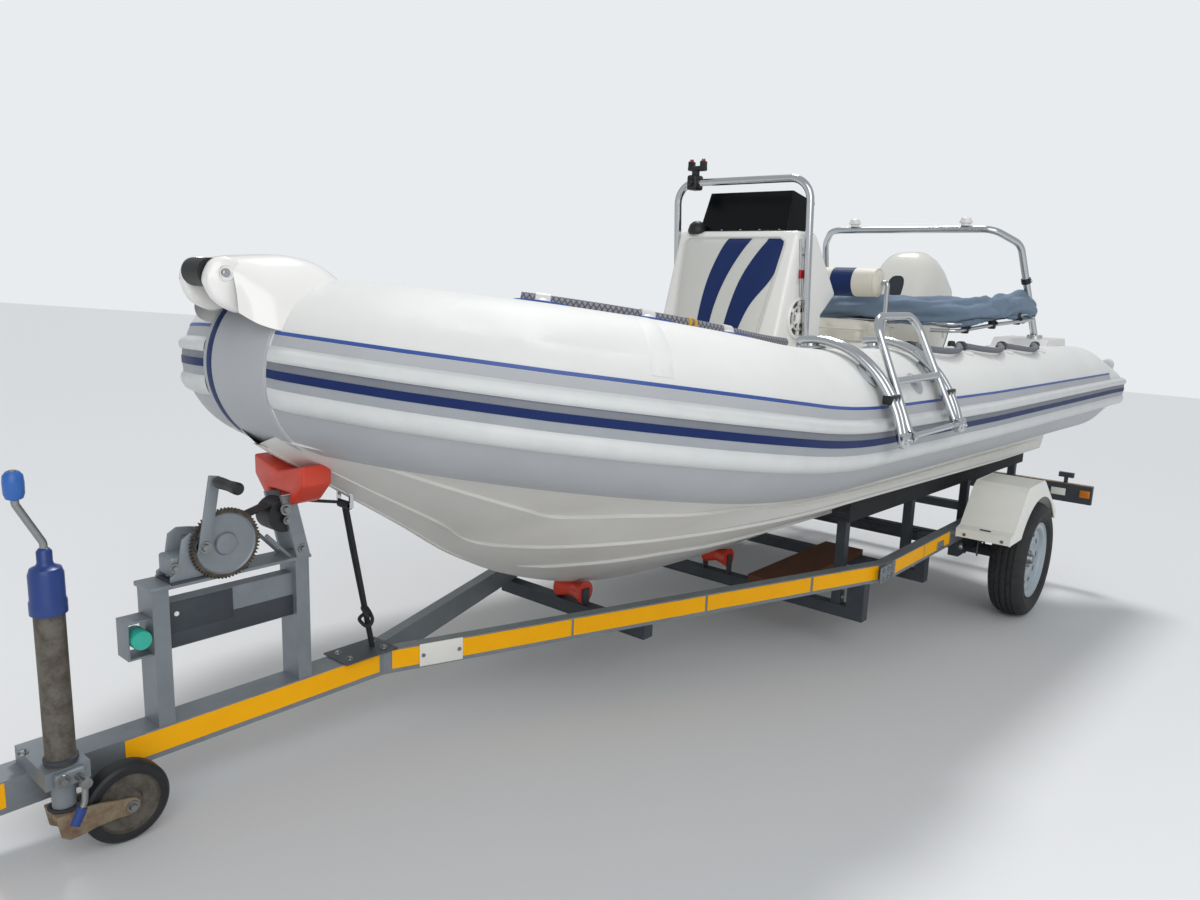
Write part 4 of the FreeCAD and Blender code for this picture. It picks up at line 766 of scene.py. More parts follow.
@dataclass(frozen=True)
class Studio:
    """Floor, lights and camera."""

    focal_pixels: float = 903.144
    yaw: float = math.radians(40.09)
    pitch: float = math.radians(10.64)
    roll: float = math.radians(2.01)
    eye: tuple = (4.727, 2.152, 1.585)

    def build(self):
        """Make the floor, lamps, world and camera."""
        self.camera()
        self.floor()
        self.lamps()

    def camera(self):
        """Camera at the photograph's place and angle."""
        view = Vector((-math.cos(self.yaw) * math.cos(self.pitch), -math.sin(self.yaw) * math.cos(self.pitch),
                       -math.sin(self.pitch)))
        right = view.cross(UP).normalized()
        up = right.cross(view)
        side = right * math.cos(self.roll) + up * math.sin(self.roll)
        top = -right * math.sin(self.roll) + up * math.cos(self.roll)
        matrix = Matrix((
            (side.x, top.x, -view.x, self.eye[0]), (side.y, top.y, -view.y, self.eye[1]),
            (side.z, top.z, -view.z, self.eye[2]), (0, 0, 0, 1)))
        data = bpy.data.cameras.new("camera")
        data.sensor_width = 36
        data.lens = self.focal_pixels / 1200 * 36
        data.clip_start = 0.05
        data.clip_end = 200
        camera = bpy.data.objects.new("camera", data)
        camera.matrix_world = PARK @ matrix
        bpy.context.scene.collection.objects.link(camera)
        bpy.context.scene.camera = camera

    def floor(self):
        """Wide pale floor that looks the same to the camera and in reflections."""
        data = bpy.data.meshes.new("floor")
        size = 60
        data.from_pydata([(-size, -size, 0), (size, -size, 0), (size, size, 0), (-size, size, 0)], [], [(0, 1, 2, 3)])
        floor = bpy.data.objects.new("floor", data)
        material = bpy.data.materials.new("floor")
        material.use_nodes = True
        shader = material.node_tree.nodes["Principled BSDF"]
        shader.inputs["Base Color"].default_value = linear("#D8D9DA")
        shader.inputs["Roughness"].default_value = 0.8
        data.materials.append(material)
        bpy.context.scene.collection.objects.link(floor)

    def lamps(self):
        """Soft sun from above the camera's right shoulder, a fill and a pale world."""
        sun = bpy.data.lights.new("sun", "SUN")
        sun.energy = 1.65
        sun.angle = math.radians(14)
        lamp = bpy.data.objects.new("sun", sun)
        lamp.rotation_euler = Vector((-0.45, -0.35, 1.0)).to_track_quat("Z", "Y").to_euler()
        bpy.context.scene.collection.objects.link(lamp)
        fill = bpy.data.lights.new("fill", "AREA")
        fill.energy = 205
        fill.size = 6
        front = bpy.data.objects.new("fill", fill)
        front.location = (5.0, 5.0, 4.0)
        front.rotation_euler = Vector((5.0, 5.0, 3.2)).to_track_quat("Z", "Y").to_euler()
        bpy.context.scene.collection.objects.link(front)
        world = bpy.data.worlds.new("world")
        world.use_nodes = True
        bpy.context.scene.world = world
        nodes, links = world.node_tree.nodes, world.node_tree.links
        background = nodes["Background"]
        background.inputs["Color"].default_value = (0.93, 0.96, 1.0, 1)
        background.inputs["Strength"].default_value = 0.54
        seen = nodes.new("ShaderNodeBackground")
        seen.inputs["Color"].default_value = linear("#E9ECEF")
        path = nodes.new("ShaderNodeLightPath")
        mix = nodes.new("ShaderNodeMixShader")
        links.new(path.outputs["Is Camera Ray"], mix.inputs[0])
        links.new(background.outputs[0], mix.inputs[1])
        links.new(seen.outputs[0], mix.inputs[2])
        links.new(mix.outputs[0], nodes["World Output"].inputs["Surface"])
        bpy.context.scene.view_settings.view_transform = "Standard"


def curve(stops, count):
    """Smooth row of points through stops.

    Args:
        stops: tuples of equal length.
        count: points between two stops.

    Returns:
        List of tuples that starts and ends at the outer stops.
    """
    row = []
    for i in range(len(stops) - 1):
        a, b = stops[max(i - 1, 0)], stops[i]
        c, d = stops[i + 1], stops[min(i + 2, len(stops) - 1)]
        for k in range(count):
            t = k / count
            row.append(tuple(0.5 * (2 * q + (r - p) * t + (2 * p - 5 * q + 4 * r - w) * t * t
                                    + (3 * q - p - 3 * r + w) * t ** 3) for p, q, r, w in zip(a, b, c, d)))
    return row + [tuple(stops[-1])]


def inflate(piece, pressure=4.0, voxel=0.006, frames=14, allowed=0.010):
    """Fill a cushion's cover by a short cloth simulation without gravity.

    Args:
        piece: closed mesh object that is already placed.
        pressure: cloth pressure.
        voxel: remesh size in metres.
        frames: length of the simulation.
        allowed: metres that it may swell past its own box.
    """
    scene = bpy.context.scene
    gravity = scene.use_gravity
    scene.use_gravity = False
    start = [v.co.copy() for v in piece.data.vertices]
    low = Vector([min(p[i] for p in start) for i in range(3)])
    high = Vector([max(p[i] for p in start) for i in range(3)])
    remesh = piece.modifiers.new("even", "REMESH")
    remesh.mode = "VOXEL"
    remesh.voxel_size = max(voxel, (high - low).length / 90)
    cloth = piece.modifiers.new("filled", "CLOTH")
    cloth.settings.use_pressure = True
    cloth.settings.uniform_pressure_force = pressure
    cloth.settings.tension_stiffness = 12
    cloth.settings.compression_stiffness = 4
    cloth.settings.bending_stiffness = 0.6
    cloth.settings.effector_weights.gravity = 0
    cloth.settings.quality = 4
    cloth.point_cache.frame_start = 1
    cloth.point_cache.frame_end = frames
    for number in range(1, frames + 1):
        scene.frame_set(number)
    shape = piece.evaluated_get(bpy.context.evaluated_depsgraph_get())
    filled = bpy.data.meshes.new_from_object(shape)
    piece.modifiers.clear()
    for vert in filled.vertices:
        for i in range(3):
            vert.co[i] = min(max(vert.co[i], low[i] - allowed), high[i] + allowed)
    old = piece.data
    piece.data = filled
    bpy.data.meshes.remove(old)
    for polygon in filled.polygons:
        polygon.use_smooth = True
    scene.frame_set(1)
    scene.use_gravity = gravity


@dataclass(frozen=True)
class Hull:
    """Deep V bottom with its spray rails, the cockpit's floor and the transom."""

    sections: tuple = (
        # ahead, keel height, then half breadth and height of rail, chine, flare and edge
        (-0.800, 0.370, 0.450, 0.576, 0.790, 0.731, 0.800, 0.790, 0.815, 0.862),
        (0.400, 0.381, 0.450, 0.606, 0.790, 0.778, 0.803, 0.830, 0.818, 0.890),
        (1.400, 0.392, 0.450, 0.634, 0.790, 0.818, 0.805, 0.862, 0.820, 0.914),
        (2.000, 0.424, 0.448, 0.662, 0.790, 0.843, 0.808, 0.892, 0.830, 0.944),
        (2.300, 0.472, 0.415, 0.681, 0.735, 0.842, 0.812, 0.920, 0.850, 0.968),
        (2.500, 0.527, 0.300, 0.665, 0.650, 0.832, 0.810, 0.945, 0.860, 0.992),
        (2.700, 0.602, 0.100, 0.645, 0.535, 0.822, 0.785, 0.960, 0.872, 1.020),
        (2.850, 0.677, 0.060, 0.699, 0.330, 0.797, 0.680, 0.962, 0.868, 1.047),
        (2.950, 0.735, 0.040, 0.752, 0.150, 0.796, 0.510, 0.943, 0.855, 1.068),
        (3.080, 0.826, 0.040, 0.839, 0.166, 0.880, 0.497, 0.987, 0.815, 1.100),
        (3.280, 0.958, 0.035, 0.967, 0.134, 0.994, 0.402, 1.066, 0.665, 1.142),
        (3.420, 1.052, 0.030, 1.059, 0.104, 1.077, 0.312, 1.127, 0.515, 1.182),
        (3.500, 1.105, 0.020, 1.110, 0.072, 1.123, 0.216, 1.159, 0.355, 1.194),
        (3.545, 1.137, 0.006, 1.139, 0.020, 1.145, 0.060, 1.160, 0.100, 1.174),
    )
    rail_width: float = 0.024

    def build(self):
        """Make the outer skin, the flanges and the rails."""
        form = Form()
        rows = []
        for ahead, keel, *pairs in curve(self.sections, 6):
            points = [(0.0, keel)] + list(zip(pairs[::2], pairs[1::2]))
            line = [(0.0, keel), (0.012, keel + 0.002)]
            for (a, b), (c, d) in zip(points, points[1:]):
                steps = 5
                line += [(a + (c - a) * k / steps, b + (d - b) * k / steps) for k in range(1, steps + 1)]
            line[2:7] = [(max(y, 0.02), z) for y, z in line[2:7]]
            rows.append([(ahead, -y, z) for y, z in reversed(line)] + [(ahead, y, z) for y, z in line[1:]])
        form.grid(rows, GELCOAT)
        for number in (2, 4, 6):
            self.rail(form, number)
        self.inside(form)
        form.finish("hull_skin", "hull", slot="gelcoat", sharp=30)
        transom = Form()
        transom.prism([(-0.79, 0.731), (0.0, 0.370), (0.79, 0.731), (0.80, 0.79), (0.80, 0.86), (-0.80, 0.86),
                       (-0.80, 0.79)], -0.806, -0.800, GELCOAT, 0.002, axis="X")
        for side in (-0.52, 0.52):
            transom.box((-0.815, side - 0.06, 0.62), (-0.805, side + 0.06, 0.70), GELCOAT, 0.004)
            transom.lathe([(0, 0.02), (0.018, 0.018), (0.026, 0.01), (0.03, 0)], (-0.806, side * 0.6, 0.60),
                          (-1, 0, 0), BLACK, 20)
        transom.lathe([(0, 0.006), (0.012, 0.006), (0.02, 0.004), (0.022, 0)], (-0.806, 0, 0.46), (-1, 0, 0),
                      STAINLESS, 20)
        transom.finish("transom_fittings", slot="gelcoat")

    def inside(self, form):
        """Cockpit floor, its coved edges and the side ledges that run in under the tubes."""
        spots = (
            # ahead, half breadth of the floor, height of the ledge
            (-0.740, 0.640, 0.820), (0.330, 0.640, 0.824), (1.400, 0.640, 0.829), (2.000, 0.620, 0.855),
            (2.300, 0.560, 0.884), (2.500, 0.430, 0.927), )
        floor, cove = [], []
        for ahead, half, ledge in spots:
            floor.append([(ahead, half * k / 6, 0.800) for k in range(-6, 7)])
            cove.append([(ahead, half, 0.800), (ahead, half + 0.012, 0.804), (ahead, 0.690, ledge - 0.004),
                         (ahead, 0.706, ledge), (ahead, 0.790, ledge + 0.200)])
        form.grid(floor, SOLE)
        for sign in (1, -1):
            form.grid([[(x, y * sign, z) for x, y, z in row] for row in cove], MOULDING)

    def rail(self, form, number):
        """Spray rail along one of the hull's lines."""
        rows = []
        spots = curve(self.sections, 6)
        for step, spot in enumerate(spots):
            ahead, y, z = spot[0], spot[number], spot[number + 1]
            under = (spot[number - 2], spot[number - 1]) if number > 2 else (0.0, spot[1])
            slope = Vector((y - under[0], z - under[1]))
            if slope.length < 0.02 or y < 0.09:
                continue
            slope.normalize()
            down = Vector((slope.y, -slope.x))
            fade = min(1.0, step / 4, (y - 0.09) / 0.08)
            wide, deep = self.rail_width * fade, 0.010 * fade
            at = Vector((y, z))
            line = [at - slope * wide + down * 0.0004, at + down * deep - slope * 0.003, at + down * deep,
                    at + slope * 0.002 + down * 0.0002]
            rows.append([(ahead, p.x, p.y) for p in line])
        for sign in (1, -1):
            form.grid([[(x, y * sign, z) for x, y, z in row] for row in rows], GELCOAT)


@dataclass(frozen=True)
class BowMoulding:
    """White cap over the nose with cheeks for the anchor roller."""

    sections: tuple = (
        # ahead, half breadth at the base, half breadth at the top, top height, base height
        (3.300, 0.060, 0.030, 1.532, 1.505),
        (3.335, 0.140, 0.080, 1.566, 1.480),
        (3.400, 0.172, 0.108, 1.604, 1.455),
        (3.480, 0.180, 0.118, 1.620, 1.440),
        (3.560, 0.176, 0.112, 1.617, 1.440),
        (3.610, 0.150, 0.100, 1.612, 1.455),
        (3.640, 0.110, 0.088, 1.606, 1.480),
    )

    def build(self):
        """Make the cap, its cheeks and its bolt."""
        form = Form()
        form.grid([self.ring(*stop) for stop in curve(self.sections, 7)], MOULDING, caps=False)
        stops = ((3.600, 1.585, 1.480), (3.625, 1.606, 1.478), (3.655, 1.610, 1.490), (3.678, 1.600, 1.510),
                 (3.690, 1.578, 1.535), (3.693, 1.560, 1.548))
        for sign in (1, -1):
            rings = []
            for ahead, top, low in curve(stops, 4):
                inner, outer = 0.041, 0.086 - 0.012 * max(0.0, (ahead - 3.65) / 0.04) ** 2
                middle, half = (inner + outer) / 2, (outer - inner) / 2
                height = (top - low) / 2
                ring = []
                for k in range(20):
                    turn = 2 * math.pi * k / 20
                    c, q = math.cos(turn), math.sin(turn)
                    ring.append((ahead, sign * (middle + half * math.copysign(abs(c) ** 0.6, c)),
                                 (top + low) / 2 + height * math.copysign(abs(q) ** 0.6, q)))
                rings.append(ring)
            form.grid(rings, MOULDING, closed=True, caps=True)
            spot = (3.655, sign * 0.084, 1.572)
            form.lathe([(0.017, -0.004), (0.021, 0.001), (0.019, 0.003), (0.015, 0.0005)], spot, (0, sign, 0),
                       MOULDING, 28)
            form.bolt((3.655, sign * 0.0845, 1.572), (0, sign, 0), STAINLESS, 0.007)
        form.finish("bow_cap", "bow_moulding", slot="moulding", weld=True)

    def ring(self, ahead, base, top, high, low):
        """Arched section of the cap."""
        ring = []
        for k in range(29):
            turn = math.pi * k / 28
            up = abs(math.sin(turn)) ** 0.55
            wide = base + (top - base) * up ** 1.3
            across = math.copysign(abs(math.cos(turn)) ** 0.45, math.cos(turn))
            ring.append((ahead, wide * across, low + (high - low) * up))
        return ring


@dataclass(frozen=True)
class Console:
    """Steering console with its pad, screen, rail fittings and speakers."""

    half: float = 0.300
    foot: Vector = Vector((1.4602, 0, 1.325))
    head: Vector = Vector((1.3196, 0, 1.785))
    speaker: Vector = Vector((1.278, 0.300, 1.457))

    def build(self):
        """Make every piece of the console."""
        self.body()
        self.pad()
        self.screen()
        self.fittings()

    def body(self):
        """Rounded moulding with a flared foot."""
        form = Form()
        side = [(1.470, 0.800), (1.460, 1.310), (1.310, 1.815), (1.145, 1.815), (0.920, 1.556), (1.050, 1.463),
                (1.050, 0.800)]
        form.prism(side, -self.half, self.half, MOULDING, 0.024, 4)
        for sign in (1, -1):
            form.prism([(1.020, 0.800), (1.500, 0.800), (1.500, 0.812), (1.478, 0.850), (1.042, 0.850),
                        (1.020, 0.812)], sign * self.half - 0.012, sign * self.half + 0.022, MOULDING, 0.008)
        form.prism([(-0.31, 0.800), (0.31, 0.800), (0.31, 0.812), (0.30, 0.850), (-0.30, 0.850), (-0.31, 0.812)],
                   1.462, 1.500, MOULDING, 0.008, axis="X")
        form.finish("console_shell", "console", slot="moulding")

    def on_pad(self, u, v, lift=0.0):
        """Point of the pad's crowned face: u from starboard to port, v upwards."""
        near = max(0.0, 1 - min(v, 1 - v) / 0.07)
        half = 0.204 + 0.050 * v - 0.030 * (1 - math.sqrt(1 - min(near, 1.0) ** 2))
        rise = 0.020 * (1 - abs(2 * u - 1) ** 5) * (1 - abs(2 * v - 1) ** 7) ** 0.8
        out = Vector((self.head.z - self.foot.z, 0, self.foot.x - self.head.x)).normalized()
        return self.foot.lerp(self.head, v) + Vector((0, half * (2 * u - 1), 0)) + out * (0.003 + rise + lift)

    def pad(self):
        """Upholstered pad with two slanted stripes and piping."""
        form = Form()
        steps = [k / 30 for k in range(31)]
        form.grid([[self.on_pad(u, v) for u in steps] for v in steps], PAD)
        edge = [(u, 0.0) for u in steps] + [(1.0, v) for v in steps[1:]]
        edge += [(u, 1.0) for u in reversed(steps[:-1])] + [(0.0, v) for v in reversed(steps[:-1])]
        form.sweep([self.on_pad(u, v, 0.001) for u, v in edge], 0.0045, PAD, 8)
        stripes = (
            # height, left and right edge of the first stripe, then of the second
            (0.00, 0.31, 0.45, 0.62, 0.77),
            (0.35, 0.31, 0.47, 0.64, 0.845),
            (0.65, 0.35, 0.545, 0.70, 0.985),
            (1.00, 0.46, 0.70, 0.86, 0.992),
        )
        for left, right in ((1, 2), (3, 4)):
            rows = []
            for stop in curve(stripes, 10):
                v = min(max(stop[0], 0.015), 0.985)
                rows.append([self.on_pad(stop[left] + (stop[right] - stop[left]) * k / 8, v,
                                         0.0012) for k in range(9)])
            form.grid(rows, NAVY_VINYL)
        pad = form.finish("console_pad", "console_backrest", slot="vinyl")

    def screen(self):
        """Black screen with folded sides on a screwed flange."""
        form = Form()
        rings = []
        for height, rear, lean, half in ((1.8155, 1.8155, 0.0, 0.222), (1.900, 1.880, 0.029, 0.215),
                                         (1.985, 1.945, 0.057, 0.207)):
            front, back = 1.268 - lean, 1.130 - lean
            outer = rounded([(back, half + 0.030, rear), (front, half, height), (front, -half, height),
                             (back, -half - 0.030, rear)], 0.008)
            inner = rounded([(back, -half - 0.026, rear), (front - 0.004, -half + 0.004, height),
                             (front - 0.004, half - 0.004, height), (back, half + 0.026, rear)], 0.005)
            rings.append(outer + inner)
        form.grid(rings, SCREEN, closed=True, caps=True)
        form.box((1.262, -0.215, 1.8125), (1.288, 0.215, 1.8185), SCREEN, 0.002)
        form.finish("dark_pane", "windscreen", slot="dark_glass", sharp=50)
        form = Form()
        for y in (-0.19, -0.095, 0.0, 0.095, 0.19):
            form.lathe([(0, 0.004), (0.005, 0.0035), (0.007, 0)], (1.278, y, 1.8185), (0, 0, 1), STAINLESS, 12)
        form.finish("screen_trim", slot="stainless")

    def fittings(self):
        """Speakers, switch, compass, holder on the rail and the gauges."""
        form = Form()
        cones = Form()
        for sign in (1, -1):
            centre = Vector((self.speaker.x, sign * self.half, self.speaker.z))
            out = Vector((0, sign, 0))
            cones.lathe([(0.086, 0), (0.086, 0.007), (0.082, 0.012), (0.076, 0.0125), (0.073, 0.009)], centre, out,
                        MOULDING, 48)
            cones.lathe([(0.073, 0.004), (0.02, 0.004), (0, 0.004)], centre, out, ENGINE, 48)
            for k in range(6):
                turn = math.radians(60 * k + 30)
                reach = Vector((math.cos(turn), 0, math.sin(turn)))
                side = Vector((-reach.z, 0, reach.x))
                corners = [(0.018, 0.004), (0.072, 0.009), (0.072, -0.009), (0.018, -0.004)]
                rows = [[centre + reach * a + side * b + out * depth for a,
                         b in corners] for depth in (0.004, 0.0125)]
                cones.grid(rows, MOULDING, closed=True, caps=True)
            cones.lathe([(0.026, 0.003), (0.026, 0.012), (0.022, 0.015), (0, 0.017)], centre, out, MOULDING, 32)
            for radius in (0.050,):
                cones.lathe([(radius - 0.002, 0.004), (radius - 0.002, 0.0125), (radius + 0.002, 0.0125),
                            (radius + 0.002, 0.004)], centre, out, MOULDING, 40)
        cones.finish("speaker_pair", "speakers", slot="moulding")
        face = [(1.302, 1.598), (1.280, 1.598), (1.268, 1.634), (1.272, 1.672), (1.290, 1.678), (1.307, 1.644)]
        form.prism(face, self.half - 0.002, self.half + 0.003, STRAKE_LIGHT, 0.002)
        form.box((1.262, self.half + 0.001, 1.620), (1.294, self.half + 0.013, 1.656), RED, 0.004, 3)
        form.lathe([(0.040, 0), (0.042, 0.012), (0.038, 0.020), (0.030, 0.036), (0.016, 0.046), (0, 0.049)],
                   (1.292, -0.215, 1.812), (0.3, 0, 1), BLACK, 28)
        form.finish("console_fittings", slot="moulding")
        hoop = Form()
        hoop.tube([(1.246, 0.330, 1.310), (1.296, 0.330, 2.024), (1.296, -0.330, 2.024), (1.246, -0.330, 1.310)],
                  0.016, STAINLESS, 20, 0.09)
        for sign in (1, -1):
            for ahead, height in ((1.248, 1.335), (1.275, 1.725)):
                hoop.tube([(ahead, sign * 0.298, height), (ahead, sign * 0.330, height)], 0.012, STAINLESS, 16)
                hoop.lathe([(0.022, 0), (0.022, 0.004), (0.014, 0.007), (0.012, 0.012)],
                           (ahead, sign * 0.300, height), (0, sign, 0), STAINLESS, 24)
        hoop.tube([(1.268, 0.306, 1.548), (1.301, 0.306, 1.780)], 0.005, STAINLESS, 10)
        hoop.finish("console_hoop", "console_rail", slot="stainless")
        holder = Form()
        holder.box((1.264, -0.264, 1.992), (1.328, -0.214, 2.056), BLACK, 0.010, 3)
        holder.tube([(1.296, -0.238, 2.050), (1.298, -0.236, 2.072), (1.304, -0.234, 2.090)], 0.017, BLACK, 14)
        holder.box((1.274, -0.268, 2.074), (1.320, -0.190, 2.094), BLACK, 0.006)
        for y in (-0.260, -0.198):
            holder.box((1.278, y - 0.009, 2.086), (1.316, y + 0.009, 2.116), BLACK, 0.005)
            holder.lathe([(0, 0.013), (0.007, 0.011), (0.009, 0.006), (0.009, 0)], (1.297, y, 2.114), (0.3, 0, 1),
                         RED, 16)
        holder.lathe([(0, 0.020), (0.012, 0.017), (0.015, 0.008), (0.013, 0)], (1.326, -0.238, 2.024), (1, 0.2, 0),
                     BLACK, 16)
        holder.finish("rail_fittings", slot="black_plastic")
        dash = Form()
        slope = math.atan2(1.815 - 1.556, 1.145 - 0.920)
        out = Vector((-math.sin(slope), 0, math.cos(slope)))
        along = Vector((math.cos(slope), 0, math.sin(slope)))
        middle = Vector((1.0325, 0, 1.6855))
        for y, up, radius in ((0.20, 0.09, 0.042), (0.20, -0.02, 0.030), (-0.20, 0.09, 0.042), (-0.20, -0.02, 0.030),
                              (0.20, -0.10, 0.022)):
            spot = middle + along * up + Vector((0, y, 0))
            dash.lathe([(radius, 0), (radius, 0.006), (radius * 0.9, 0.008), (radius * 0.86, 0.004)], spot, out,
                       STAINLESS, 32)
            dash.lathe([(0, 0.0045), (radius * 0.86, 0.0045)], spot, out, SCREEN, 32)
        for k in range(5):
            spot = middle + along * -0.09 + Vector((0, -0.24 + 0.03 * k, 0)) + out * 0.002
            dash.lathe([(0.009, 0), (0.009, 0.004), (0.005, 0.006), (0.004, 0.016), (0, 0.018)], spot, out, BLACK, 14)
        dash.finish("dash_gauges", slot="black_plastic")


@dataclass(frozen=True)
class Seats:
    """Cushions, the rolled backrest and the bench cushion aft."""

    def build(self):
        """Make the soft pieces and the seat boxes' details."""
        self.cushions()
        self.bolster()
        self.boxes()

    def cushions(self):
        """Filled cushions of the front and helm seats, with piping."""
        form = Form()
        spots = (((1.492, -0.283, 1.133), (1.868, 0.283, 1.199)), ((-0.037, -0.193, 1.322), (0.417, 0.193, 1.399)))
        for low, high in spots:
            form.box(low, high, VINYL, 0.022, 4)
        cushions = form.finish("seat_pads")
        inflate(cushions, 3.0)
        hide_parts("seat_cushions")
        seams = Form()
        for low, high in spots:
            for z in (low[2] + 0.012, high[2] - 0.012):
                ring = [(low[0], low[1], z), (high[0], low[1], z), (high[0], high[1], z), (low[0], high[1], z)]
                middle = Vector(((low[0] + high[0]) / 2, low[1], z))
                seams.tube([middle] + [Vector(ring[1]), Vector(ring[2]), Vector(ring[3]), Vector(ring[0])] + [middle],
                           0.0035, PAD, 8, 0.04, caps=False)
        seams.finish("seat_piping", slot="vinyl")

    def bolster(self):
        """Rolled backrest with a navy band and gathered ends."""
        form = Form()
        centre = Vector((0.210, 0, 1.622))
        profile = [(0, -0.194), (0.018, -0.193), (0.045, -0.190), (0.062, -0.183), (0.070, -0.172), (0.0725, -0.155),
                   (0.0738, -0.10), (0.074, -0.062), (0.0722, -0.060), (0.0738, -0.058), (0.0739, 0.058),
                   (0.0722, 0.060),
                   (0.074, 0.062), (0.0738, 0.10), (0.0725, 0.155), (0.070, 0.172), (0.062, 0.183), (0.045, 0.190),
                   (0.018, 0.193), (0, 0.194)]
        strips = [NAVY_VINYL if -0.06 <= low[1] < 0.06 else VINYL for low in profile[:-1]]
        form.lathe(profile, centre, (0, 1, 0), strips, 56)
        for y in (-0.176, 0.176):
            ring = [centre + Vector((math.cos(t) * 0.0705, y, math.sin(t) * 0.0705)) for t in
                    (2 * math.pi * k / 40 for k in range(41))]
            form.sweep(ring, 0.003, VINYL, 6, caps=False)
            form.lathe([(0, 0.006), (0.012, 0.004), (0.015, 0)], centre + Vector((0, math.copysign(0.192, y), 0)),
                       (0, math.copysign(1, y), 0), VINYL, 16)
        roll = form.finish("bolster_roll", "backrest_bolster", slot="vinyl", sharp=60)

    def boxes(self):
        """Rounded seat boxes with hatch lines and latches."""
        form = Form()
        form.box((1.470, -0.280, 0.800), (1.860, 0.280, 1.130), MOULDING, 0.020, 3)
        form.prism([(-0.040, 0.800), (0.390, 0.800), (0.420, 1.320), (-0.060, 1.320)], -0.240, 0.240, MOULDING, 0.020,
                   3)
        form.finish("seat_mouldings", "seat_boxes", slot="moulding")
        trim = Form()
        for y in (-0.15, 0.15):
            trim.box((0.404, y - 0.018, 1.250), (0.416, y + 0.018, 1.280), STAINLESS, 0.003)
            trim.box((1.856, y - 0.018, 1.07), (1.867, y + 0.018, 1.10), STAINLESS, 0.003)
        for sign in (1, -1):
            trim.lathe([(0.024, 0), (0.024, 0.004), (0.015, 0.007), (0.013, 0.012)], (0.2005, sign * 0.227, 1.318),
                       (0, 0, 1), STAINLESS, 24)
            trim.bolt((0.203, sign * 0.240, 1.45), (0, sign, 0), STAINLESS, 0.006)
        trim.finish("seat_latches", slot="stainless")


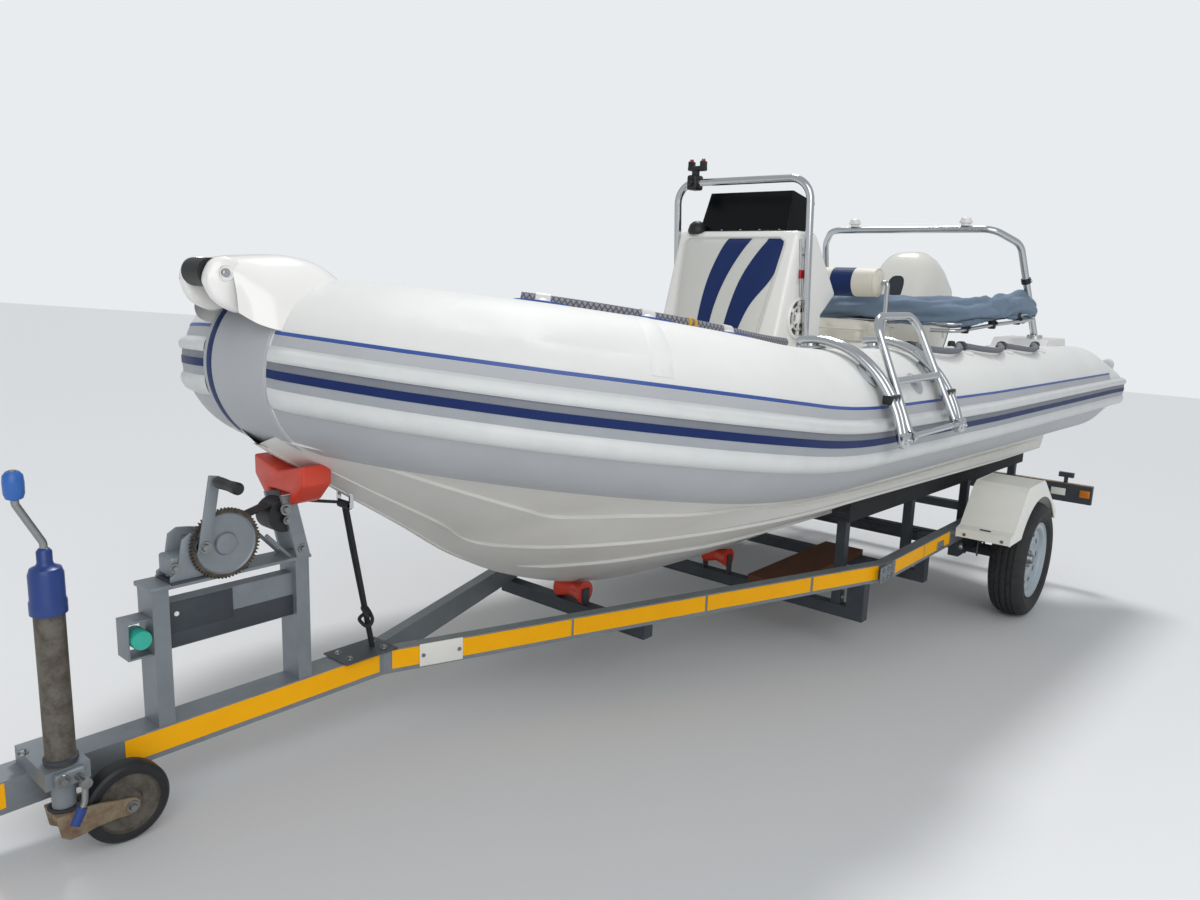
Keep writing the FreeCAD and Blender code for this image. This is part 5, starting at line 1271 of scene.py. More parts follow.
@dataclass(frozen=True)
class Stern:
    """Arch lights, frame clips, pods and the small gear by the port tube."""

    def build(self):
        """Make every piece."""
        self.lights()
        self.fittings()
        self.gear()

    def lights(self):
        """Two squat white lights on the arch."""
        form = Form()
        for y in (0.330, -0.330):
            form.lathe([(0, 0), (0.024, 0), (0.025, 0.012), (0.034, 0.015), (0.0355, 0.019), (0.0345, 0.026),
                        (0.029, 0.029),
                        (0.028, 0.040), (0.022, 0.045), (0.010, 0.047), (0, 0.047)], (-0.540, y, 1.954), (0, 0, 1),
                        MOULDING, 32)
            form.lathe([(0.025, 0.012), (0.0265, 0.0125), (0.0265, 0.015), (0.025, 0.0155)], (-0.540, y, 1.954),
                       (0, 0, 1), BLACK, 32)
        form.finish("masthead_lights", "arch_lights", slot="light_lens")

    def fittings(self):
        """Weld collars, foot plates and clips of the arch and the sunshade's frame."""
        form = Form()
        foot, knee = Vector((-0.930, 0.655, 1.345)), Vector((-0.690, 0.590, 1.860))
        run = (knee - foot).normalized()
        for share in (0.27, 0.62):
            at = foot.lerp(knee, share)
            form.lathe([(0.0195, -0.016), (0.026, -0.014), (0.026, 0.014), (0.0195, 0.016)], at, run, BLACK, 28)
            form.bolt(at + Vector((0, 0.027, 0)), (0, 1, 0), STAINLESS, 0.006)
        for k in range(4):
            turn = math.radians(45 + 90 * k)
            form.bolt(foot + Vector((math.cos(turn) * 0.034, math.sin(turn) * 0.034, 0.0135)), (0, 0, 1), STAINLESS,
                      0.004)
        start = Vector((-0.862, 0.637, 1.484))
        hoop = [start, Vector((-0.010, 0.522, 1.425))]
        form.tube([start + Vector((0.02, 0.020, -0.035)), Vector((-0.40, 0.582, 1.422)), Vector((0.0, 0.530, 1.392)),
                   Vector((0.02, 0.40, 1.390))], 0.010, STAINLESS, 12, 0.06)
        for share in (0.20, 0.55, 0.90):
            at = hoop[0].lerp(hoop[1], share)
            form.box(at + Vector((-0.016, -0.016, -0.052)), at + Vector((0.016, 0.020, 0.016)), BLACK, 0.006, 2)
            form.lathe([(0, 0.012), (0.009, 0.010), (0.010, 0)], at + Vector((0, 0.020, -0.02)), (0, 1, 0), BLACK, 12)
        form.mirror()
        form.finish("frame_clips", slot="stainless")

    def gear(self):
        """Navy bag, rope coil, white bracket and pod details."""
        bag = Form()
        rings = []
        for ahead, size in ((0.50, 0.30), (0.51, 0.62), (0.54, 0.86), (0.60, 1.0), (0.70, 0.97), (0.80, 1.02),
                            (0.86, 0.88), (0.895, 0.60), (0.905, 0.28)):
            ring = []
            for k in range(24):
                turn = 2 * math.pi * k / 24
                y = 0.600 + 0.070 * size * math.cos(turn)
                z = 1.262 + 0.060 * size * math.sin(turn) - 0.012 * math.cos(4 * math.pi * (ahead - 0.5))
                ring.append(self.slump(Vector((ahead, y, z))))
            rings.append(ring)
        bag.grid(rings, NAVY_VINYL, closed=True, caps=True)
        bag.tube([(0.58, 0.585, 1.315), (0.64, 0.575, 1.352), (0.76, 0.575, 1.352), (0.82, 0.585, 1.315)], 0.007,
                 BLACK_ROPE, 10)
        sack = bag.finish("side_bag", slot="vinyl", sharp=70)
        form = Form()
        for ahead in (0.56, 0.70, 0.84):
            form.box((ahead - 0.012, 0.545, 1.150), (ahead + 0.012, 0.650, 1.2075), BLACK, 0.004)
        form.box((0.30, 0.598, 1.225), (0.44, 0.672, 1.292), MOULDING, 0.014, 3)
        form.box((0.32, 0.610, 1.140), (0.42, 0.672, 1.230), MOULDING, 0.008)
        form.lathe([(0, 0.002), (0.021, 0.002), (0.021, 0.006), (0.027, 0.007), (0.029, 0)], (0.44, 0.635, 1.262),
                   (1, 0, 0), BLACK, 24)
        form.tube([(0.33, 0.622, 1.288), (0.33, 0.622, 1.322), (0.30, 0.612, 1.336)], 0.010, BLACK, 12, 0.02)
        form.lathe([(0, 0.030), (0.014, 0.028), (0.018, 0.018), (0.018, 0.004), (0.012, 0)], (0.30, 0.612, 1.328),
                   (0, 0, 1), BLACK, 16)
        form.mirror()
        form.finish("side_fittings", slot="moulding")

    @staticmethod
    def slump(point, height=0.006, size=14.0):
        """Point moved by slow noise."""
        return point + noise.noise_vector(point * size) * height


@dataclass(frozen=True)
class Canopy:
    """Folded sunshade: one long bundle of cloth round the frame's forward hoop.

    Attributes:
        first: degrees at which the cloth's outer edge lies.
        wrap: degrees that it goes round.
        count: strips round it.
        tucked: strip from which it turns inside the bundle.
        route: stops of the bundle.
    """

    first: float = -128
    wrap: float = 436
    count: int = 72
    tucked: int = 54
    route: tuple = (
        # ahead, side, middle height, half width, half height of the bundle
        (-0.925, 0.622, 1.452, 0.026, 0.034),
        (-0.905, 0.618, 1.474, 0.052, 0.066),
        (-0.850, 0.610, 1.503, 0.066, 0.082),
        (-0.740, 0.596, 1.526, 0.068, 0.086),
        (-0.600, 0.584, 1.520, 0.066, 0.078),
        (-0.440, 0.578, 1.509, 0.064, 0.073),
        (-0.280, 0.576, 1.502, 0.064, 0.072),
        (-0.160, 0.568, 1.496, 0.066, 0.074),
        (-0.080, 0.530, 1.491, 0.072, 0.079),
        (-0.040, 0.440, 1.488, 0.080, 0.084),
        (-0.026, 0.300, 1.487, 0.086, 0.086),
        (-0.025, 0.100, 1.487, 0.088, 0.086),
        (-0.025, 0.000, 1.487, 0.088, 0.086),
    )

    def build(self):
        """Make the bundle."""
        stops = list(self.route) + [(x, -y, z, a, b) for x, y, z, a, b in reversed(self.route[:-1])]
        line = curve(stops, 9)
        form = Form()
        rows = []
        travelled = 0.0
        width = 0.0
        for number, (x, y, z, half, high) in enumerate(line):
            here = Vector((x, y, z))
            back, ahead = Vector(line[max(number - 1, 0)][:3]), Vector(line[min(number + 1, len(line) - 1)][:3])
            if number:
                travelled += (here - back).length
            run = (ahead - back).normalized()
            out = run.cross(UP).normalized()
            up = out.cross(run)
            row = []
            for k in range(self.count + 1):
                turn = math.radians(self.first + self.wrap * k / self.count)
                inner = max(0.0, (k - self.tucked) / (self.count - self.tucked))
                folds = 1 + 0.12 * math.sin(4 * turn + 9.0 * travelled) + 0.06 * math.sin(7 * turn - 14.0 * travelled)
                size = (0.86 * folds) * (1 - 0.30 * inner)
                point = here + out * (half * size * math.cos(turn)) + up * (high * size * math.sin(turn))
                row.append(point + noise.noise_vector(point * 8) * 0.012 + noise.noise_vector(point * 27) * 0.004)
            width = max(width, sum((b - a).length for a, b in zip(row, row[1:])))
            rows.append(row)
        form.grid(rows, CANVAS)
        cloth = form.finish("sunshade_cloth", "canopy", slot="canvas", sharp=80)


@dataclass(frozen=True)
class Motor:
    """Outboard motor in upright coordinates about its tilt axis."""

    rings: tuple = (
        # height, front, back, half breadth of the cowl
        (0.060, 0.020, -0.425, 0.140), (0.075, 0.028, -0.440, 0.150), (0.130, 0.039, -0.535, 0.189),
        (0.138, 0.036, -0.532, 0.187), (0.146, 0.039, -0.542, 0.190), (0.240, 0.036, -0.566, 0.197),
        (0.350, 0.029, -0.578, 0.199), (0.440, 0.016, -0.574, 0.193), (0.520, -0.002, -0.556, 0.178),
        (0.575, -0.035, -0.520, 0.158), (0.605, -0.068, -0.470, 0.132), (0.617, -0.100, -0.420, 0.100),
        (0.620, -0.160, -0.340, 0.050),
    )

    def build(self):
        """Make the cowl, leg and propeller."""
        form = Form(MOTOR)
        rows = [self.ring(*stop) for stop in self.rings]
        form.grid(rows[:3], ENGINE, closed=True, caps=False)
        form.grid(rows[2:4], BLACK, closed=True)
        form.grid(rows[3:], COWL, closed=True)
        form.mesh.faces.new([form.mesh.verts.new(p) for p in rows[-1]])
        form.mesh.faces.new([form.mesh.verts.new(p) for p in rows[0]])
        for sign in (1, -1):
            form.grid([[self.on_cowl(-0.500 + 0.012 * v + 0.034 * u * (1 - v), 0.165 + 0.070 * v,
                                     sign) for u in (0, 0.5, 1)]
                       for v in (0, 0.25, 0.5, 0.75, 1.0)], BLACK)
            form.prism([(-0.16, 0.20), (-0.34, 0.20), (-0.38, 0.28), (-0.20, 0.28)], sign * 0.190, sign * 0.2005,
                       COWL, 0.006)
        form.box((-0.555, -0.05, 0.16), (-0.530, 0.05, 0.20), BLACK, 0.006)
        form.finish("engine_cowl", "motor_cowl", slot="motor_paint", body="motor_head", weld=True)
        leg = Form(MOTOR)
        for z in (-0.18, -0.34, -0.50):
            leg.box((-0.256, -0.030, z - 0.003), (-0.154, 0.0565, z + 0.003), ENGINE, 0.001)
        leg.lathe([(0, 0.010), (0.010, 0.008), (0.012, 0)], (-0.200, 0.055, -0.10), (0, 1, 0), BLACK, 16)
        for x in (-0.20, -0.22, -0.24):
            leg.box((x - 0.005, -0.0335, -0.74), (x + 0.005, 0.0335, -0.70), BLACK, 0.001)
        leg.finish("leg_details", slot="motor_paint", body="motor_head")

    def on_cowl(self, x, z, sign):
        """Point just over the cowl's side."""
        for low, high in zip(self.rings[4:], self.rings[5:]):
            if low[0] <= z <= high[0]:
                share = (z - low[0]) / (high[0] - low[0])
                front, back, half = (a + (b - a) * share for a, b in zip(low[1:], high[1:]))
        middle, reach = (front + back) / 2, (front - back) / 2
        c = min(1.0, abs(x - middle) / reach) ** (1 / 0.78)
        return Vector((x - 0.0015, sign * (half * (1 - c * c) ** 0.33 + 0.0015), z))

    def ring(self, height, front, back, half):
        """Rounded plan section of the cowl."""
        ring = []
        middle, reach = (front + back) / 2, (front - back) / 2
        for k in range(56):
            turn = 2 * math.pi * k / 56
            c, q = math.cos(turn), math.sin(turn)
            power = 0.62 if c > 0 else 0.78
            ring.append((middle + reach * math.copysign(abs(c) ** power, c), half * math.copysign(abs(q) ** 0.66, q),
                         height))
        return ring


@dataclass(frozen=True)
class Ladder:
    """Fittings of the boarding ladder."""

    ahead: float = 1.905
    hinge: Vector = Vector((1.905, 1.145, 1.158))

    def build(self):
        """Make the clips, pads, hinge plates and the folding loop's caps."""
        form = Form()
        for side in (-0.235, 0.235):
            station = self.ahead + side
            along = LINE.at(station)
            for angle in (45, 98):
                out = (LINE.skin(along, angle, 0.1) - LINE.skin(along, angle)).normalized()
                form.lathe([(0.044, 0), (0.044, 0.004), (0.034, 0.008), (0.024, 0.009), (0.022, 0.020)],
                           LINE.skin(along, angle, 0.0006), out, TUBE_GREY, 28)
            at = Vector((station, self.hinge.y, self.hinge.z))
            form.box(at + Vector((-0.026, -0.010, -0.028)), at + Vector((0.026, 0.012, 0.016)), STAINLESS, 0.003)
            for shift in (-0.018, 0.018):
                form.bolt(at + Vector((shift, 0.012, -0.008)), (0, 1, 0), STAINLESS, 0.005)
            clip = LINE.skin(along, 22, 0.034)
            form.box(clip + Vector((-0.034, -0.018, -0.014)), clip + Vector((0.034, 0.014, 0.014)), BLACK, 0.005)
        handle = []
        for share in (0.0, 0.15, 0.5, 0.85, 1.0):
            handle.append(LINE.skin(-0.72 + 0.22 * share, 35, 0.003 + 0.026 * math.sin(math.pi * share) ** 0.5))
        form.sweep(curve([tuple(p) for p in handle], 5), 0.011, TUBE_GREY, 14)
        for along in (-0.72, -0.50):
            form.grid([[LINE.skin(along + 0.045 * size * math.cos(t), 35 + 10 * size * math.sin(t),
                                  0.004 * (1.02 - size))
                        for t in (2 * math.pi * k / 32 for k in range(32))] for size in (0.0, 0.85, 1.0)], TUBE_GREY,
                        closed=True)
        form.finish("ladder_fittings", slot="stainless")
        fold = Form()
        for side in (-0.190, 0.190):
            at = self.hinge + Vector((side, 0, 0))
            fold.lathe([(0.0185, -0.0128), (0.0195, -0.011), (0.0195, 0.011), (0.0185, 0.0128)], at, (1, 0, 0),
                       STAINLESS, 32)
        fold.tube([self.hinge + Vector((-0.178, 0, 0)), self.hinge + Vector((0.178, 0, 0))], 0.0095, STAINLESS, 16)
        fold.finish("ladder_grip", slot="stainless", body="boarding_ladder")


@dataclass(frozen=True)
class Ropes:
    """Braided lines on the tubes with their fittings."""

    pads: tuple = (1.560, 1.029, 0.505, -0.022)

    def build(self):
        """Make the bow line, the lifelines and their keepers."""
        form = Form()
        stops = [math.radians(d) * LINE.side for d in (50, 46, 36, 26, 16, 6, 2, -2, -10, -18)]
        route = curve([tuple(LINE.skin(s, 104, 0.005 + 0.014)) for s in stops], 8)
        form.sweep(route, 0.0138, ROPE, 20, lengthwise=17)
        form.mirror()
        form.finish("bow_rope", "bow_line", slot="rope", sharp=80)
        life = Form()
        knots = [self.spot(self.pads[0] + 0.025, 78, 0.0176)]
        for front, back in zip(self.pads, self.pads[1:]):
            knots += [self.spot(front - 0.025, 78, 0.0176), self.spot(front - 0.12, 69, 0.0190),
                      self.spot((front + back) / 2, 64, 0.0216), self.spot(back + 0.12, 69, 0.0190),
                      self.spot(back + 0.025, 78, 0.0176)]
        knots.append(self.spot(self.pads[-1] - 0.025, 78, 0.0176))
        life.sweep(curve(knots, 6), 0.0118, ROPE, 18, lengthwise=19)
        life.mirror()
        life.finish("life_rope", "lifelines", slot="rope", sharp=80)
        trim = Form()
        for ahead in self.pads:
            at = Vector(self.spot(ahead, 78, 0.0176))
            trim.lathe([(0.0122, -0.018), (0.0175, -0.016), (0.0175, 0.016), (0.0122, 0.018)], at, (1, 0, 0.03),
                       BLACK, 24)
            out = (LINE.skin(LINE.at(ahead), 78, 0.1) - LINE.skin(LINE.at(ahead), 78)).normalized()
            trim.lathe([(0.024, -0.0125), (0.022, -0.006), (0.016, 0.0)], at, out, BLACK, 20)
        for degrees in (6, 26, 46):
            along = math.radians(degrees) * LINE.side
            at = LINE.skin(along, 104, 0.019)
            run = (LINE.skin(along + 0.01, 104, 0.019) - LINE.skin(along - 0.01, 104, 0.019)).normalized()
            out = (LINE.skin(along, 104, 0.1) - LINE.skin(along, 104)).normalized()
            trim.lathe([(0.0143, -0.020), (0.0175, -0.018), (0.0175, 0.018), (0.0143, 0.020)], at, run, STRAKE_LIGHT,
                       24)
            trim.lathe([(0.030, -0.0135), (0.026, -0.006), (0.018, 0)], at, out, STRAKE_LIGHT, 20)
        for degrees in (15.2, 16.6):
            along = math.radians(degrees) * LINE.side
            at = LINE.skin(along, 104, 0.019)
            run = (LINE.skin(along + 0.01, 104, 0.019) - LINE.skin(along - 0.01, 104, 0.019)).normalized()
            trim.lathe([(0.0140, -0.006), (0.0158, -0.004), (0.0158, 0.004), (0.0140, 0.006)], at, run, YELLOW_CORD,
                       20)
        trim.mirror()
        trim.finish("rope_keepers", slot="rope")

    @staticmethod
    def spot(ahead, angle, lift):
        """Point above the straight tube, as a tuple."""
        return tuple(LINE.skin(LINE.at(ahead), angle, lift))


@dataclass(frozen=True)
class TrailerFrame:
    """Details of the trailer's frame, mudguards, coupler and lamps."""

    knee: tuple = (3.190, 0.041)
    bend: tuple = (1.200, 0.761)

    def build(self):
        """Make every piece."""
        self.tape()
        self.plates()
        self.hardware()
        self.lamps()
        self.guards()
        self.coupler()

    def along_rail(self, share):
        """Point of the drawn rail's outer face, from the knee to the bend."""
        return (self.knee[0] + (self.bend[0] - self.knee[0]) * share,
                self.knee[1] + (self.bend[1] - self.knee[1]) * share)

    def tape(self):
        """Yellow reflective tape with worn ends."""
        form = Form()
        runs = [((3.930, 0.0411), (3.205, 0.0411)), ((4.500, 0.0411), (4.180, 0.0411))]
        run = Vector(self.bend) - Vector(self.knee)
        out = Vector((-run.y, run.x)).normalized() * -0.0009
        if out.y < 0:
            out = -out
        for first, last in ((0.012, 0.300), (0.304, 0.560), (0.565, 0.800), (0.806, 0.975)):
            a, b = Vector(self.along_rail(first)) + out, Vector(self.along_rail(last)) + out
            runs.append((tuple(a), tuple(b)))
        runs += [((1.120, 0.7611), (0.800, 0.7611)), ((0.794, 0.7611), (0.480, 0.7611))]
        for (x0, y0), (x1, y1) in runs:
            rows = []
            count = max(2, int(abs(x1 - x0) / 0.05))
            for k in range(count + 1):
                share = k / count
                x, y = x0 + (x1 - x0) * share, y0 + (y1 - y0) * share
                edge = 0.0012 * noise.noise(Vector((x * 25, 0, 0)))
                rows.append([(x, y, 0.4135 + edge), (x, y + 0.0007, 0.4142 + edge), (x, y + 0.0007, 0.4712 + edge),
                             (x, y, 0.4718 + edge)])
            form.grid(rows, TAPE)
        form.mirror()
        form.finish("rail_tape", slot="moulding")

    def plates(self):
        """Joint plates, the blank white plate and the end cap of the rails."""
        form = Form()
        form.box((1.145, 0.7612, 0.404), (1.275, 0.7665, 0.472), ZINC, 0.002)
        for x in (1.165, 1.205, 1.250):
            for z in (0.420, 0.456):
                form.bolt((x, 0.7665, z), (0, 1, 0), DULL_STEEL, 0.006)
        form.box((3.150, -0.060, 0.4762), (3.330, 0.060, 0.4812), ZINC, 0.002)
        for x in (3.18, 3.30):
            form.bolt((x, 0.030, 0.481), (0, 0, 1), DULL_STEEL, 0.007)
        for x in (-1.000, -0.170, 0.600):
            form.box((x - 0.040, 0.7612, 0.402), (x + 0.040, 0.7652, 0.450), ZINC, 0.002)
            for shift in (-0.022, 0.022):
                form.bolt((x + shift, 0.7652, 0.426), (0, 1, 0), DULL_STEEL, 0.006)
        form.mirror()
        share = 0.085
        x, y = self.along_rail(share)
        turn = Matrix.Translation((x, y, 0.442)) @ Matrix.Rotation(
            math.atan2(self.bend[1] - self.knee[1], self.bend[0] - self.knee[0]), 4, "Z")
        form.box((-0.070, -0.0065, -0.036), (0.070, -0.0022, 0.036), PLATE, 0.002, turn=turn)
        for shift in (-0.058, 0.058):
            form.bolt(turn @ Vector((shift, -0.0065, 0.0)), turn.to_3x3() @ Vector((0, -1, 0)), DULL_STEEL, 0.004)
        form.finish("rail_plates", slot="galvanised")

    def hardware(self):
        """Bolts through the bunk posts, beam ends and springs."""
        form = Form()
        for x in (-1.000, -0.170, 0.600, 1.302):
            for z in (0.320, 0.360):
                form.bolt((x, 0.6205, z), (0, 1, 0), DULL_STEEL, 0.007)
        for x in (-0.310, 0.310):
            form.lathe([(0, 0.016), (0.012, 0.015), (0.018, 0.008), (0.019, 0)], (x, 0.7612, 0.366), (0, 1, 0),
                       DULL_STEEL, 20)
        for k in range(3):
            form.box((-0.300 + 0.045 * k, 0.712, 0.3452 + 0.0055 * k),
                     (0.300 - 0.045 * k, 0.760, 0.3502 + 0.0055 * k), DARK_ZINC, 0.001)
        for x in (-0.050, 0.050):
            form.tube([(x, 0.706, 0.262), (x, 0.706, 0.366), (x, 0.766, 0.366), (x, 0.766, 0.262)], 0.005, DULL_STEEL,
                      10, 0.012)
        form.mirror()
        form.finish("frame_bolts", slot="galvanised")

    def lamps(self):
        """Light board's top strip, lamps and blank plate."""
        form = Form()
        form.box((-1.0805, -1.040, 0.4985), (-1.0495, 1.040, 0.5025), RUSTY_ARM, 0.001)
        for sign in (1, -1):
            for low, high, finish in ((0.900, 1.015, LAMP_RED), (0.790, 0.895, LAMP_AMBER), (0.690, 0.785, LAMP_RED)):
                y0, y1 = sorted((sign * low, sign * high))
                form.box((-1.0985, y0, 0.412), (-1.0798, y1, 0.484), finish, 0.006, 3)
            y0, y1 = sorted((sign * 0.975, sign * 1.030))
            form.box((-1.0502, y0, 0.430), (-1.0440, y1, 0.474), LAMP_AMBER, 0.003)
            y0, y1 = sorted((sign * 0.820, sign * 0.900))
            form.box((-1.0502, y0, 0.428), (-1.0430, y1, 0.470), PLATE, 0.004)
            form.lathe([(0, 0.010), (0.024, 0.008), (0.028, 0.002), (0.028, 0)], (-1.0795, sign * 0.600, 0.448),
                       (-1, 0, 0), LAMP_AMBER, 24)
            form.box((-1.0795, sign * 0.89 - 0.038, 0.5375), (-1.0545, sign * 0.89 + 0.038, 0.5625), LAMP_AMBER,
                     0.006)
        form.box((-1.0835, -0.260, 0.400), (-1.0798, 0.260, 0.496), PLATE, 0.003)
        for y in (-0.22, 0.22):
            form.bolt((-1.0835, y, 0.448), (-1, 0, 0), DULL_STEEL, 0.004)
        cable = [(-1.045, 0.02, 0.470), (-0.98, 0.04, 0.476), (-0.60, 0.060, 0.300)]
        form.tube(cable[:2], 0.004, BLACK, 8)
        form.finish("rear_lamps", slot="light_lens")

    def guards(self):
        """Lips, slots and bolts of the mudguards."""
        form = Form()
        profile = [(0.458, 0.452), (0.458, 0.492), (0.408, 0.502), (0.268, 0.670), (0.233, 0.692), (-0.015, 0.692),
                   (-0.040, 0.680), (-0.300, 0.497), (-0.300, 0.452)]
        for edge in (0.7835, 1.0245):
            form.tube([(x - 0.003 * (x > 0.24) + 0.003 * (x < -0.02), edge, z - 0.002) for x, z in profile], 0.0042,
                      GUARD, 10, 0.030)
        form.box((0.425, 0.880, 0.4955), (0.438, 0.930, 0.5005), BLACK, 0.002)
        for y in (0.82, 0.99):
            form.bolt((0.4585, y, 0.466), (1, 0, 0), DULL_STEEL, 0.005)
            form.bolt((-0.3005, y, 0.466), (-1, 0, 0), DULL_STEEL, 0.005)
        form.mirror()
        form.finish("guard_trim", slot="moulding")

    def coupler(self):
        """Handle, latch and bolts of the coupling head."""
        form = Form()
        form.box((4.480, -0.016, 0.4865), (4.640, 0.016, 0.4985), ZINC, 0.004)
        form.tube([(4.520, 0, 0.496), (4.500, 0, 0.520), (4.440, 0, 0.535), (4.400, 0, 0.528)], 0.010, BLACK, 14,
                  0.02)
        for x in (4.430, 4.500):
            for sign in (1, -1):
                form.bolt((x, sign * 0.0412, 0.445), (0, sign, 0), DULL_STEEL, 0.007)
        form.lathe([(0.030, 0), (0.033, 0.004), (0.030, 0.008), (0.020, 0.010), (0, 0.010)], (4.655, 0, 0.4755),
                   (0.1, 0, 1), ZINC, 28)
        form.tube([(4.36, 0.020, 0.4765), (4.36, 0.020, 0.520), (4.36, -0.020, 0.520), (4.36, -0.020, 0.4765)], 0.004,
                  DULL_STEEL, 10, 0.012)
        form.finish("coupler_latch", slot="galvanised")


@dataclass(frozen=True)
class Wheels:
    """Road wheels with tread, side wall ribs, wheel bolts and hub caps."""

    side: float = 0.965
    height: float = 0.290

    def build(self):
        """Make both wheels."""
        for sign, name in ((1, "port"), (-1, "starboard")):
            self.tyre(sign, name)
            self.rim(sign, name)

    def tyre(self, sign, name):
        """Tyre with four grooves and cut shoulders."""
        half = (
            # radius, distance from the middle, whether the blocks are cut there
            (0.2895, 0.000, 0), (0.2895, 0.010, 1), (0.2890, 0.011, 0), (0.2825, 0.012, 0), (0.2825, 0.017, 0),
            (0.2888, 0.018, 1), (0.2880, 0.034, 1), (0.2815, 0.035, 0), (0.2815, 0.040, 0), (0.2868, 0.041, 1),
            (0.2825, 0.056, 2), (0.2740, 0.0675, 2), (0.2630, 0.0745, 0), (0.2480, 0.0800, 0), (0.2425, 0.0822, 0),
            (0.2405, 0.0808, 0), (0.2200, 0.0790, 0), (0.2130, 0.0770, 0), (0.2115, 0.0785, 0), (0.2050, 0.0730, 0),
            (0.1965, 0.0660, 0), (0.1860, 0.0590, 0), (0.1842, 0.0560, 0),
        )
        profile = [(r, -a, cut) for r, a, cut in reversed(half[1:])] + list(half)
        steps = 176
        rows = []
        for k in range(steps):
            turn = 2 * math.pi * k / steps
            row = []
            for radius, along, cut in profile:
                size = radius - 0.0045 * (cut == 1 and k % 4 == 0) - 0.0040 * (cut == 2 and k % 4 < 2)
                row.append((math.cos(turn) * size, sign * self.side + along, self.height + math.sin(turn) * size))
            rows.append(row)
        form = Form()
        form.grid(rows + [rows[0]], TYRE)
        form.finish(f"tread_{name}", f"tyre_{name}", slot="tyre_rubber", body=f"wheel_{name}", sharp=28, weld=True)

    def rim(self, sign, name):
        """Dished pressed rim with slots drawn as black ovals of painted shade, five bolts and a cap."""
        profile = ((0.1895, 0.066), (0.1895, 0.0625), (0.184, 0.060), (0.170, 0.062), (0.160, 0.058), (0.155, 0.050),
                   (0.150, 0.043), (0.120, 0.036), (0.098, 0.038), (0.080, 0.041), (0.058, 0.028), (0.046, 0.027),
                   (0.026, 0.027))
        back = ((0.1895, 0.066), (0.186, 0.0665), (0.176, 0.058), (0.172, 0.040), (0.170, -0.040), (0.176, -0.058),
                (0.186, -0.0665), (0.1895, -0.066), (0.1895, -0.0625), (0.184, -0.058), (0.165, -0.052),
                (0.164, 0.020), (0.120, 0.028), (0.076, 0.032), (0.046, 0.018), (0.046, -0.040))
        form = Form()
        centre = Vector((0, sign * self.side, self.height))
        out = Vector((0, sign, 0))
        form.lathe(list(profile), centre, out, RIM, 72)
        form.lathe(list(back), centre, out, RIM, 72)
        for k in range(5):
            turn = 2 * math.pi * k / 5 + 0.3
            reach = Vector((math.cos(turn), 0, math.sin(turn)))
            form.bolt(centre + reach * 0.050 + out * 0.028, out, DULL_STEEL, 0.009)
        # the slots are black ovals on the rim face: painted shade where the holes would show the wheel's dark inside
        for k in range(10):
            turn = 2 * math.pi * k / 10
            reach = Vector((math.cos(turn), 0, math.sin(turn)))
            side = Vector((-reach.z, 0, reach.x))
            rows = []
            for j in range(17):
                t = 2 * math.pi * j / 16
                rows.append([centre + reach * (0.124 + size * 0.013 * math.cos(t))
                             + side * (size * 0.018 * math.sin(t))
                             + out * (0.0372 + 0.0007 * (1 - size)) for size in (0.0, 1.0)])
            form.grid(rows, BLACK)
        form.lathe([(0, 0.062), (0.016, 0.061), (0.022, 0.057), (0.0245, 0.050), (0.026, 0.036), (0.030, 0.028)],
                   centre, out, DULL_STEEL, 40)
        form.lathe([(0.1635, 0.052), (0.1635, 0.056), (0.1600, 0.058)], centre, out, DULL_STEEL, 40)
        form.finish(f"rim_face_{name}", f"rim_{name}", slot="rim_steel", body=f"wheel_{name}")


